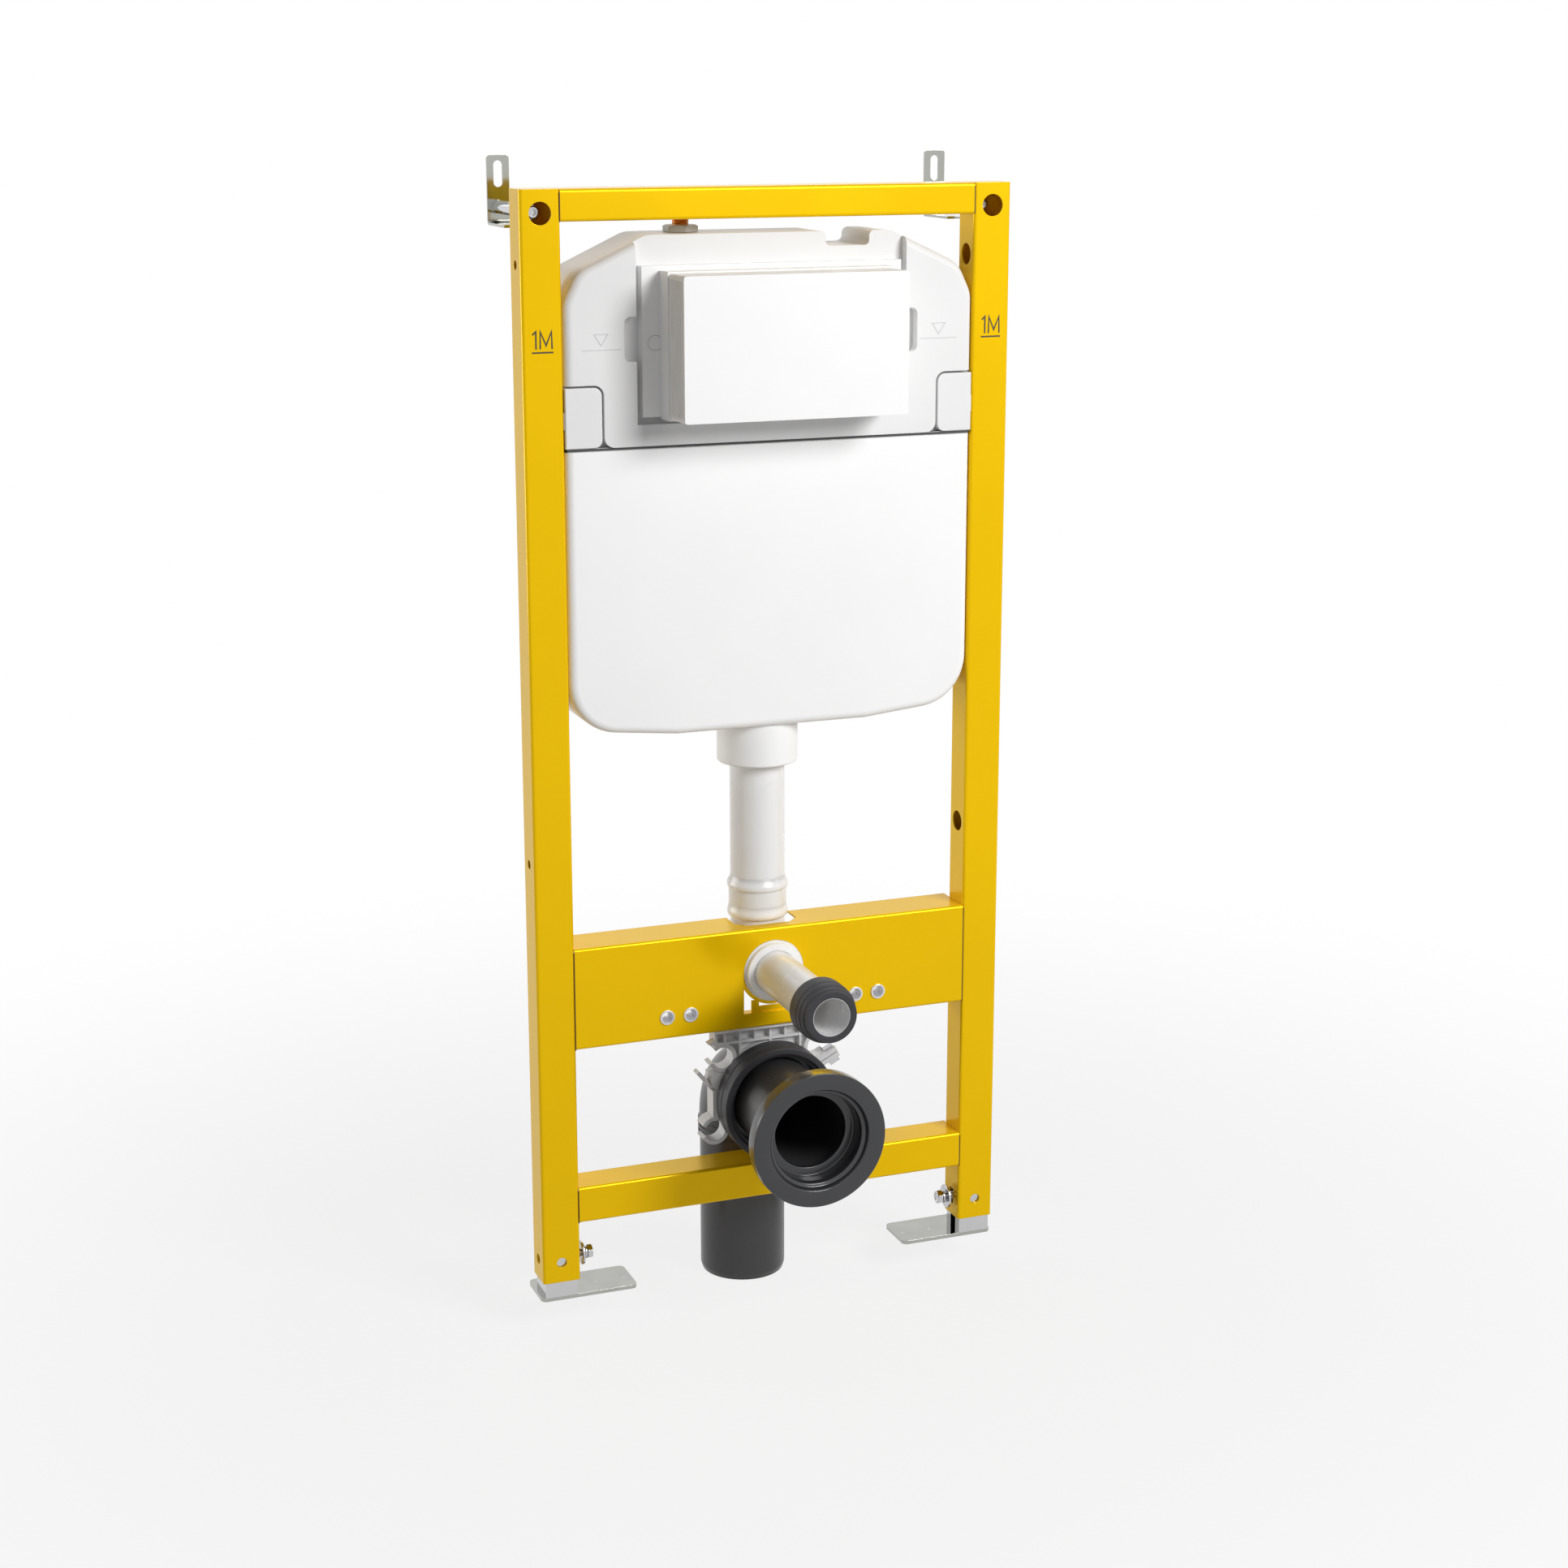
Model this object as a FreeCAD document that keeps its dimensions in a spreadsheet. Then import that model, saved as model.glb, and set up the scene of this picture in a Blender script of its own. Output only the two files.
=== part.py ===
import FreeCAD, Part
import math
import os
import Sketcher
from FreeCAD import Vector

# Toilet installation frame for a wall-hung bowl, in millimetres, +Z up, front towards -Y.
# The origin lies on the back face of the left wall bracket, on the depth spindle's axis.
# Every piece is drawn about the frame's middle plane, front plane and floor, and then placed.

DIMENSIONS = {
    # steel frame
    "frame_width": 500.0,
    "frame_top": 1108.0,
    "upright_bottom": 21.0,
    "upright_width": 39.0,
    "upright_depth": 36.5,
    "steel_wall": 2.0,
    "bend_radius": 3.0,
    "top_rail_height": 30.0,
    "middle_rail_height": 105.0,
    "middle_rail_depth": 48.6,
    "bottom_rail_height": 38.0,
    "bottom_rail_depth": 39.0,
    # levels over the floor, and the steps up and down from them
    "stud_height": 290.0,
    "stud_above_rail_edge": 23.0,
    "stud_above_keyhole": 7.0,
    "flush_above_studs": 36.0,
    "waste_below_studs": 102.0,
    "bottom_rail_below_waste": 68.0,
    "side_hole_below_top": 69.5,
    "side_hole_above_bottom": 438.0,
    "clamp_below_middle": 9.5,
    # holes of the uprights
    "access_hole_radius": 10.75,
    "side_hole_radius": 4.5,
    "side_access_radius": 10.5,
    "low_hole_radius": 5.25,
    # legs and feet
    "leg_clearance": 0.5,
    "leg_wall": 2.5,
    "leg_slot": 12.0,
    "leg_length": 280.0,
    "foot_thickness": 4.0,
    "foot_length": 102.0,
    "foot_depth": 51.0,
    "foot_corner": 6.0,
    "foot_overhang": 1.0,
    "foot_setback": 3.0,
    # clamp bolts
    "clamp_bolt_radius": 4.0,
    "clamp_bolt_flats": 13.0,
    "clamp_head_height": 5.5,
    "clamp_head_stand": 12.0,
    "clamp_washer_radius": 12.5,
    "clamp_washer_thickness": 2.0,
    "clamp_washer_stand": 5.5,
    "clamp_nut_play": 1.25,
    "clamp_nut_height": 20.0,
    "clamp_nut_thickness": 5.0,
    "clamp_slot_play": 0.5,
    "clamp_slot_height": 17.0,
    "fit_clearance": 0.2,
    "seat_gap": 0.3,
    # wall brackets
    "wall_distance": 142.7,
    "spindle_below_top": 22.0,
    "bracket_width": 22.2,
    "bracket_thickness": 2.5,
    "bracket_rise": 49.0,
    "bracket_drop": 17.0,
    "bracket_arm": 60.0,
    "bracket_slot_width": 9.0,
    "bracket_slot_length": 25.0,
    "bracket_slot_margin": 5.0,
    "bracket_corner": 3.0,
    "spindle_radius": 5.0,
    "sleeve_radius": 6.5,
    "spindle_stand": 6.0,
    "spindle_nut_flats": 15.0,
    "spindle_nut_height": 6.0,
    # cistern
    "cistern_gap": 1.0,
    "cistern_front": -1.0,
    "cistern_back": 85.0,
    "cistern_wall": 5.0,
    "cistern_rounding": 8.0,
    "hood_below_top": 44.0,
    "hood_height": 197.5,
    "tank_height": 282.5,
    "tank_side_rise": 11.0,
    "tank_flat": 200.0,
    "tank_corner": 52.0,
    "joint_gap": 3.0,
    "joint_depth": 2.5,
    "hood_flat": 250.0,
    "hood_shoulder_inset": 14.0,
    "hood_shoulder_drop": 33.0,
    "hood_side_drop": 62.0,
    "hood_corner": 30.0,
    "channel_width": 276.8,
    "channel_depth": 11.0,
    "finger_reach": 12.3,
    "finger_below_plate": 47.0,
    "finger_height": 42.0,
    "finger_corner": 6.0,
    "notch_margin": 21.4,
    "notch_width": 45.6,
    "notch_depth": 14.0,
    "notch_corner": 5.0,
    "clip_width": 38.5,
    "clip_height": 59.5,
    "clip_depth": 9.0,
    "clip_gap": 2.0,
    "clip_corner": 10.0,
    "clip_edge": 1.2,
    "tongue_rise": 18.5,
    "tongue_height": 16.0,
    "tongue_depth": 4.0,
    # access opening
    "plate_below_hood": 28.0,
    "plate_height": 142.0,
    "plate_side_gap": 5.4,
    "plate_foot_gap": 7.0,
    "plate_front": -0.5,
    "window_side": 29.0,
    "window_foot": 11.0,
    "window_head": 18.0,
    "box_side": 19.4,
    "box_foot": 0.5,
    "box_head": 6.0,
    "box_depth": 65.7,
    "box_wall": 2.5,
    "box_corner": 3.0,
    "box_collar": 24.0,
    "box_collar_proud": 1.5,
    "box_rib": 0.6,
    "box_rib_pitch": 5.0,
    # water inlet
    "inlet_offset": -77.0,
    "inlet_clearance": 3.2,
    "inlet_radius": 8.33,
    "inlet_bore": 5.5,
    "inlet_length": 28.0,
    "inlet_nut_flats": 30.0,
    "inlet_nut_height": 7.0,
    # flush pipes
    "flush_depth": 47.0,
    "flush_radius": 28.0,
    "flush_wall": 2.5,
    "flush_bend": 36.0,
    "flush_socket_low": 50.0,
    "flush_socket_high": 84.0,
    "flush_socket_wall": 1.6,
    "flush_bead": 1.0,
    "flush_bead_height": 3.0,
    "collar_wall": 13.0,
    "collar_height": 44.0,
    "mouth_wall": 2.0,
    "mouth_front": -6.0,
    "keyhole_play": 2.5,
    "cradle_width": 5.7,
    "cradle_leg_inner": 15.5,
    "cradle_leg_width": 8.0,
    "cradle_bar_rise": 5.0,
    "outlet_radius": 22.5,
    "outlet_wall": 2.0,
    "outlet_front": -150.0,
    "outlet_back": 8.0,
    "seal_overhang": 7.0,
    "seal_grip": 28.0,
    "seal_bore": 18.9,
    "seal_nose_wall": 3.8,
    "seal_shoulder": 2.4,
    "seal_full": 2.0,
    "seal_step": 6.0,
    "pipe_notch": 4.0,
    # stud bushes
    "stud_spacing": 180.0,
    "stud_step": 25.0,
    "bush_flange_radius": 7.75,
    "bush_flange_thickness": 1.5,
    "bush_radius": 6.75,
    "bush_length": 18.0,
    "bush_bore": 5.1,
    # waste
    "waste_radius": 45.0,
    "waste_wall": 3.0,
    "waste_behind_gap": 0.7,
    "waste_bend_step": 0.6,
    "waste_bend_play": 5.0,
    "waste_joint_drop": 72.0,
    "waste_end": -35.0,
    "waste_socket_wall": 8.8,
    "waste_socket_length": 32.0,
    "ridge_height": 2.0,
    "ridge_width": 3.0,
    "ridge_pitch": 6.5,
    "ring_wall": 6.0,
    "ring_front": -20.0,
    "ring_lap": 8.0,
    "ring_lip": 4.5,
    "ring_step_depth": 3.0,
    "flange_front": -128.0,
    "flange_rim": 17.0,
    "flange_thickness": 20.0,
    "flange_recess": 7.0,
    "flange_seat_play": 1.0,
    "flange_lip": 7.5,
    "connector_setback": 32.0,
    "connector_play": 1.0,
    "spigot_rounding": 2.0,
    # waste pipe hanger, strap, lever and screw
    "band_wall": 4.7,
    "band_front": 10.0,
    "band_depth": 18.0,
    "hanger_width": 126.0,
    "hanger_plate": 3.5,
    "hanger_front": 4.0,
    "hanger_rib": 2.5,
    "hanger_rib_pitch": 16.5,
    "hanger_bar_drop": 15.5,
    "hanger_web_width": 104.0,
    "ear_across": 52.0,
    "ear_up": 47.0,
    "ear_bore": 11.0,
    "ear_wall": 4.0,
    "ear_mouth_reach": 15.5,
    "ear_mouth_rise": 17.0,
    "ear_mouth_fall": 6.0,
    "split_angle": 27.0,
    "split_gap": 0.5,
    "left_split": 12.5,
    "block_width": 15.0,
    "block_left": 64.8,
    "block_height": 18.5,
    "hook_reach": 5.0,
    "spring_across": 61.0,
    "spring_down": 31.0,
    "lug_reach": 84.0,
    "lug_thickness": 5.0,
    "screw_along": 77.0,
    "screw_radius": 3.0,
    "screw_head": 11.0,
    "screw_head_height": 6.0,
    "lever_across": 62.8,
    "lever_up": 14.5,
    "lever_length": 24.0,
    "lever_thickness": 4.0,
    "lever_depth": 12.0,
    "lever_angle": 129.0,
}

doc = FreeCAD.newDocument("installation_frame")
sheet = doc.addObject("Spreadsheet::Sheet", "dims")
nodes = []


# Sizes that keep their value together with the sheet expression that gives it
class Size:
    def __init__(self, value, text):
        self.value = float(value)
        self.text = text

    def __add__(self, other):
        other = size(other)
        return Size(self.value + other.value, f"({self.text} + {other.text})")

    def __sub__(self, other):
        other = size(other)
        return Size(self.value - other.value, f"({self.text} - {other.text})")

    def __mul__(self, other):
        other = size(other)
        return Size(self.value * other.value, f"({self.text} * {other.text})")

    def __truediv__(self, other):
        other = size(other)
        return Size(self.value / other.value, f"({self.text} / {other.text})")

    def __neg__(self):
        return self * -1

    __radd__ = __add__
    __rmul__ = __mul__

    def __rsub__(self, other):
        return size(other) - self


def size(amount):
    if isinstance(amount, Size):
        return amount
    return Size(amount, f"({amount})")


class Dimensions:
    pass


d = Dimensions()
for row, (name, value) in enumerate(DIMENSIONS.items(), start=1):
    sheet.set(f"A{row}", name)
    sheet.set(f"B{row}", str(value))
    sheet.setAlias(f"B{row}", name)
    setattr(d, name, Size(value, f"dims.{name}"))
doc.recompute()

# Where the middle plane, the front plane and the floor lie from the origin
middle_x = (d.frame_width - d.upright_width) / 2
front_y = -d.wall_distance
floor_z = d.spindle_below_top - d.frame_top

# Sizes and levels that follow from the sheet
upright_middle = (d.frame_width - d.upright_width) / 2
upright_inner = d.frame_width / 2 - d.upright_width
rail_length = upright_inner * 2
spindle_height = d.frame_top - d.spindle_below_top
leg_width = d.upright_width - 2 * (d.steel_wall + d.leg_clearance)
leg_depth = d.upright_depth - 2 * (d.steel_wall + d.leg_clearance)
middle_rail_bottom = d.stud_height - d.stud_above_rail_edge
flush_axis = d.stud_height + d.flush_above_studs
waste_axis = d.stud_height - d.waste_below_studs
bottom_rail_bottom = waste_axis - d.bottom_rail_below_waste - d.bottom_rail_height
clamp_height = (d.upright_bottom + bottom_rail_bottom) / 2 - d.clamp_below_middle
cistern_width = rail_length - 2 * d.cistern_gap
hood_top = d.frame_top - d.hood_below_top
hood_bottom = hood_top - d.hood_height
joint_height = hood_bottom - d.joint_gap
tank_bottom = joint_height - d.tank_height
plate_width = d.channel_width - 2 * d.plate_side_gap
plate_top = hood_top - d.plate_below_hood
plate_bottom = plate_top - d.plate_height
inlet_depth = d.upright_depth + d.inlet_radius + d.inlet_clearance
mouth_radius = d.flush_radius + d.mouth_wall
keyhole_radius = mouth_radius + d.keyhole_play
waste_bend_radius = d.waste_radius + d.waste_bend_play
waste_depth = d.wall_distance - d.waste_radius - d.ridge_height - d.waste_behind_gap
waste_joint = waste_axis - d.waste_joint_drop
socket_radius = d.waste_radius + d.fit_clearance + d.waste_socket_wall
band_inner = socket_radius + d.seat_gap
band_radius = band_inner + d.band_wall
SIDES = {"left": -1, "right": 1}


# Drawing helpers
def new_body(label):
    body = doc.addObject("PartDesign::Body", label)
    body.Label = label
    nodes.append(body)
    return body


def place(body, x=0.0, y=0.0, z=0.0):
    """Puts the body's own origin at a point given from the middle plane, front plane and floor."""
    spot = {"x": middle_x + x, "y": front_y + y, "z": floor_z + z}
    body.Placement.Base = Vector(spot["x"].value, spot["y"].value, spot["z"].value)
    for axis, amount in spot.items():
        body.setExpression(f"Placement.Base.{axis}", amount.text)


def lean(body, angle):
    """Turns a placed body about Y, so that what is drawn along X rises by the angle."""
    body.Placement.Rotation = FreeCAD.Rotation(Vector(0, 1, 0), -angle.value)
    body.setExpression("Placement.Rotation.Angle", f"-{angle.text} * 1 deg")


def bind(item, name, amount):
    amount = size(amount)
    setattr(item, name, amount.value)
    item.setExpression(name, amount.text)


def sketch_on(body, plane, level):
    """A sketch on one of the body's own planes, moved to a level along that plane's axis."""
    support = next(f for f in body.Origin.OriginFeatures if f.Role == plane + "_Plane")
    sketch = body.newObject("Sketcher::SketchObject", body.Name + "_sketch")
    sketch.AttachmentSupport = [(support, "")]
    sketch.MapMode = "FlatFace"
    shift = -size(level) if plane == "XZ" else size(level)
    sketch.setExpression("AttachmentOffset.Base.z", shift.text)
    return sketch


def hold(sketch, shape, end, across, up):
    """Holds a point of a sketch at two sheet-bound distances from the sketch's origin."""
    for kind, amount in (("DistanceX", size(across)), ("DistanceY", size(up))):
        index = sketch.addConstraint(Sketcher.Constraint(kind, -1, 1, shape, end, amount.value))
        sketch.setExpression(f"Constraints[{index}]", amount.text)


def polygon(sketch, corners):
    points = [Vector(size(x).value, size(y).value, 0) for x, y in corners]
    lines = [Part.LineSegment(a, b) for a, b in zip(points, points[1:] + points[:1])]
    ids = list(sketch.addGeometry(lines, False))
    for line, following in zip(ids, ids[1:] + ids[:1]):
        sketch.addConstraint(Sketcher.Constraint("Coincident", line, 2, following, 1))
    for line, (x, y) in zip(ids, corners):
        hold(sketch, line, 1, x, y)


def rectangle(sketch, left, low, right, high):
    polygon(sketch, [(left, low), (right, low), (right, high), (left, high)])


def circle(sketch, across, up, radius):
    across, up, radius = size(across), size(up), size(radius)
    shape = Part.Circle(Vector(across.value, up.value, 0), Vector(0, 0, 1), radius.value)
    index = sketch.addGeometry(shape, False)
    hold(sketch, index, 3, across, up)
    rule = sketch.addConstraint(Sketcher.Constraint("Radius", index, radius.value))
    sketch.setExpression(f"Constraints[{rule}]", radius.text)


def ring(sketch, across, up, outer, inner):
    circle(sketch, across, up, outer)
    circle(sketch, across, up, inner)


def hexagon(sketch, across, up, flats):
    half = flats / 2
    corner = flats / math.sqrt(3)
    polygon(sketch, [(across + corner, up), (across + corner / 2, up + half),
                     (across - corner / 2, up + half), (across - corner, up),
                     (across - corner / 2, up - half), (across + corner / 2, up - half)])


def sweep(body, kind, plane, start, end, draw):
    sketch = sketch_on(body, plane, start)
    draw(sketch)
    feature = body.newObject(f"PartDesign::{kind}", f"{body.Name}_{kind}")
    feature.Profile = sketch
    bind(feature, "Length", size(end) - size(start))
    feature.Reversed = (plane == "XZ") != (kind == "Pocket")


def pad(body, plane, start, end, draw):
    """Adds what draw puts in a sketch, from one level to another along the plane's axis."""
    sweep(body, "Pad", plane, start, end, draw)


def cut(body, plane, start, end, draw):
    """Takes away what draw puts in a sketch, between two levels along the plane's axis."""
    doc.recompute()
    before = body.Shape.Volume
    sweep(body, "Pocket", plane, start, end, draw)
    doc.recompute()
    if not body.Shape.Volume < before:
        raise ValueError(f"{body.Label}: a cut along {plane} removes nothing")


def turn(body, plane, draw, angle=360.0, back=False):
    """Revolves what draw puts in a sketch about the sketch's horizontal axis."""
    sketch = sketch_on(body, plane, 0)
    draw(sketch)
    feature = body.newObject("PartDesign::Revolution", body.Name + "_Revolution")
    feature.Profile = sketch
    feature.ReferenceAxis = (sketch, ["H_Axis"])
    feature.Angle = angle
    feature.Reversed = back


def side_span(side, near, far):
    """The two levels along X between a near and a far distance from the middle, low one first."""
    return (near, far) if side > 0 else (-far, -near)


def round_edges(body, radius, *picks):
    doc.recompute()
    base = body.Tip
    names = [f"Edge{i}" for i, edge in enumerate(base.Shape.Edges, start=1)
             if any(pick(edge) for pick in picks)]
    if not names:
        raise ValueError(f"{body.Label}: no edge found to round")
    fillet = body.newObject("PartDesign::Fillet", body.Name + "_Fillet")
    fillet.Base = (base, names)
    bind(fillet, "Radius", radius)
    doc.recompute()


def close(a, b):
    return abs(a - b) < 0.01


def middle_of(edge):
    return edge.valueAt((edge.FirstParameter + edge.LastParameter) / 2)


def edge_at(along, x=None, y=None, z=None, off_x=None):
    """Picks straight edges that run along an axis and have their middle at the given places."""
    axis = {"x": Vector(1, 0, 0), "y": Vector(0, 1, 0), "z": Vector(0, 0, 1)}[along]

    def pick(edge):
        ends = [vertex.Point for vertex in edge.Vertexes]
        if len(ends) != 2:
            return False
        reach = abs((ends[1] - ends[0]).dot(axis))
        if not close(edge.Length, reach):
            return False
        spot = (ends[0] + ends[1]) / 2
        wanted = ((spot.x, x), (spot.y, y), (spot.z, z), (abs(spot.x), off_x))
        return all(target is None or close(value, size(target).value)
                   for value, target in wanted)

    return pick


def face_edge(level, skip):
    """Picks the outer edges of a flat face at a level along Y, but not those at height skip."""
    def pick(edge):
        ends = [vertex.Point for vertex in edge.Vertexes]
        flat = all(close(point.y, level.value) for point in ends + [middle_of(edge)])
        return flat and not all(close(point.z, skip.value) for point in ends)

    return pick


def rim_at(level, radius):
    """Picks the circle of a radius round Z at a level."""
    def pick(edge):
        return (edge.Curve.TypeId == "Part::GeomCircle" and close(middle_of(edge).z, level.value)
                and close(edge.Curve.Radius, radius.value))

    return pick


# Uprights: roll-formed box tubes with holes for the spindle, side fixings and leg clamp
def upright(name, side):
    body = new_body(f"upright_{name}")
    place(body, x=side * upright_middle, z=d.upright_bottom)
    half = d.upright_width / 2
    wall = d.steel_wall

    def section(sketch):
        rectangle(sketch, -half, 0, half, d.upright_depth)
        rectangle(sketch, -half + wall, wall, half - wall, d.upright_depth - wall)

    pad(body, "XY", 0, d.frame_top - d.upright_bottom, section)
    round_edges(body, d.bend_radius, edge_at("z", off_x=half))
    middle = d.upright_depth / 2
    spindle = spindle_height - d.upright_bottom
    low = clamp_height - d.upright_bottom
    high = d.frame_top - d.side_hole_below_top - d.upright_bottom
    heights = (high, d.side_hole_above_bottom)

    def front_holes(sketch):
        circle(sketch, 0, spindle, d.access_hole_radius)
        circle(sketch, 0, low, d.low_hole_radius)

    cut(body, "XZ", -wall, middle, front_holes)
    cut(body, "XZ", middle, d.upright_depth + wall,
        lambda sketch: circle(sketch, 0, spindle, d.spindle_radius + d.fit_clearance))

    def outer_holes(sketch):
        for height in heights:
            circle(sketch, middle, height, d.side_hole_radius)
        circle(sketch, middle, low, d.low_hole_radius)

    slot_width = d.clamp_bolt_radius + d.clamp_slot_play
    slot_height = d.clamp_slot_height / 2

    def inner_holes(sketch):
        for height in heights:
            circle(sketch, middle, height, d.side_access_radius)
        rectangle(sketch, middle - slot_width, low - slot_height,
                  middle + slot_width, low + slot_height)

    cut(body, "YZ", *side_span(side, size(0), half + wall), outer_holes)
    cut(body, "YZ", *side_span(-side, size(0), half + wall), inner_holes)


def upright_caps():
    """Steel plates let into the tops of both uprights and ground flush."""
    body = new_body("upright_caps")
    place(body)
    half = d.upright_width / 2 - d.steel_wall

    def plates(sketch):
        for side in SIDES.values():
            middle = side * upright_middle
            rectangle(sketch, middle - half, d.steel_wall, middle + half,
                      d.upright_depth - d.steel_wall)

    pad(body, "XY", d.frame_top - d.steel_wall, d.frame_top, plates)


# Rails: folded steel between the uprights
def channel(body, depth, height):
    """A channel that is open to the rear, with rounded bends at its front corners."""
    wall = d.steel_wall

    def section(sketch):
        polygon(sketch, [(0, 0), (depth, 0), (depth, wall), (wall, wall),
                         (wall, height - wall), (depth, height - wall), (depth, height),
                         (0, height)])

    pad(body, "YZ", -rail_length / 2, rail_length / 2, section)
    round_edges(body, d.bend_radius, edge_at("x", y=0, z=0), edge_at("x", y=0, z=height))


def top_rail():
    body = new_body("top_rail")
    place(body, z=d.frame_top - d.top_rail_height)
    wall = d.steel_wall

    def section(sketch):
        rectangle(sketch, 0, 0, d.upright_depth, d.top_rail_height)
        rectangle(sketch, wall, wall, d.upright_depth - wall, d.top_rail_height - wall)

    pad(body, "YZ", -rail_length / 2, rail_length / 2, section)
    round_edges(body, d.bend_radius, edge_at("x", y=0, z=0),
                edge_at("x", y=0, z=d.top_rail_height))


def stud_places(side):
    inner = d.stud_spacing / 2
    return [side * inner, side * (inner + d.stud_step)]


def middle_rail():
    """Carries the bowl's studs, with a keyhole for the flush elbow and a notch for its pipe."""
    body = new_body("middle_rail")
    place(body, z=middle_rail_bottom)
    channel(body, d.middle_rail_depth, d.middle_rail_height)
    axis = flush_axis - middle_rail_bottom
    slot = d.stud_above_rail_edge - d.stud_above_keyhole
    wall = d.steel_wall

    def web_holes(sketch):
        circle(sketch, 0, axis, keyhole_radius)
        for side in SIDES.values():
            for spot in stud_places(side):
                circle(sketch, spot, d.stud_above_rail_edge, d.bush_radius)

    cut(body, "XZ", -wall, 2 * wall, web_holes)
    cut(body, "XZ", -wall, 2 * wall,
        lambda sketch: rectangle(sketch, -keyhole_radius, slot, keyhole_radius, axis))
    reach = d.flush_radius + d.flush_socket_wall + d.pipe_notch
    rear = d.middle_rail_depth + wall
    front = d.flush_depth - reach
    corner = reach / 3

    def pipe_notch(sketch):
        polygon(sketch, [(-reach, rear), (-reach, front + corner), (-reach + corner, front),
                         (reach - corner, front), (reach, front + corner), (reach, rear)])

    cut(body, "XY", d.middle_rail_height - 2 * wall, d.middle_rail_height + wall, pipe_notch)


def bottom_rail():
    body = new_body("bottom_rail")
    place(body, z=bottom_rail_bottom)
    channel(body, d.bottom_rail_depth, d.bottom_rail_height)


def stud_bushes(name, side):
    """Flanged threaded bushes for the bowl's studs, pressed into the middle rail."""
    body = new_body(f"stud_bushes_{name}")
    place(body, z=d.stud_height)

    def rings(radius):
        def draw(sketch):
            for spot in stud_places(side):
                ring(sketch, spot, 0, radius, d.bush_bore)
        return draw

    pad(body, "XZ", -d.bush_flange_thickness, size(0), rings(d.bush_flange_radius))
    pad(body, "XZ", size(0), d.bush_length, rings(d.bush_radius))


# Legs: zinc-plated lipped channels that slide in the uprights, on welded foot plates
def leg(name, side):
    body = new_body(f"leg_{name}")
    place(body, x=side * upright_middle, y=(d.upright_depth - leg_depth) / 2, z=d.foot_thickness)
    half = leg_width / 2
    wall = d.leg_wall
    lip = (leg_depth - d.leg_slot) / 2
    mouth = -side * half
    inside = -side * (half - wall)
    back = side * half
    back_inside = side * (half - wall)

    def section(sketch):
        polygon(sketch, [(mouth, 0), (back, 0), (back, leg_depth), (mouth, leg_depth),
                         (mouth, leg_depth - lip), (inside, leg_depth - lip),
                         (inside, leg_depth - wall), (back_inside, leg_depth - wall),
                         (back_inside, wall), (inside, wall), (inside, lip), (mouth, lip)])

    pad(body, "XY", 0, d.leg_length, section)


def foot_plate(name, side):
    body = new_body(f"foot_plate_{name}")
    place(body)
    outer = d.frame_width / 2 + d.foot_overhang
    low, high = side_span(side, outer - d.foot_length, outer)
    rear = d.foot_setback + d.foot_depth
    pad(body, "XY", 0, d.foot_thickness,
        lambda sketch: rectangle(sketch, low, d.foot_setback, high, rear))
    round_edges(body, d.foot_corner, edge_at("z"))


# Leg clamps: a bolt through the upright's inner wall pulls a nut plate against the leg's lips
def clamp_bolt(name, side):
    body = new_body(f"clamp_bolt_{name}")
    place(body, y=d.upright_depth / 2, z=clamp_height)
    neck = upright_inner - d.clamp_head_stand
    head = neck - d.clamp_head_height
    lip = upright_middle - leg_width / 2 + d.leg_wall
    end = lip + d.clamp_nut_thickness + 2 * d.seat_gap
    pad(body, "YZ", *side_span(side, head, neck),
        lambda sketch: hexagon(sketch, size(0), size(0), d.clamp_bolt_flats))
    pad(body, "YZ", *side_span(side, neck, end),
        lambda sketch: circle(sketch, 0, 0, d.clamp_bolt_radius))


def clamp_washer(name, side):
    body = new_body(f"clamp_washer_{name}")
    place(body, y=d.upright_depth / 2, z=clamp_height)
    far = upright_inner - d.clamp_washer_stand
    near = far - d.clamp_washer_thickness
    hole = d.clamp_bolt_radius + d.fit_clearance
    pad(body, "YZ", *side_span(side, near, far),
        lambda sketch: ring(sketch, 0, 0, d.clamp_washer_radius, hole))


def clamp_nut(name, side):
    body = new_body(f"clamp_nut_{name}")
    place(body, y=d.upright_depth / 2, z=clamp_height)
    near = upright_middle - leg_width / 2 + d.leg_wall + d.seat_gap
    half_width = leg_depth / 2 - d.leg_wall - d.clamp_nut_play
    half_height = d.clamp_nut_height / 2

    def plate(sketch):
        rectangle(sketch, -half_width, -half_height, half_width, half_height)
        circle(sketch, 0, 0, d.clamp_bolt_radius)

    pad(body, "YZ", *side_span(side, near, near + d.clamp_nut_thickness), plate)


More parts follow.
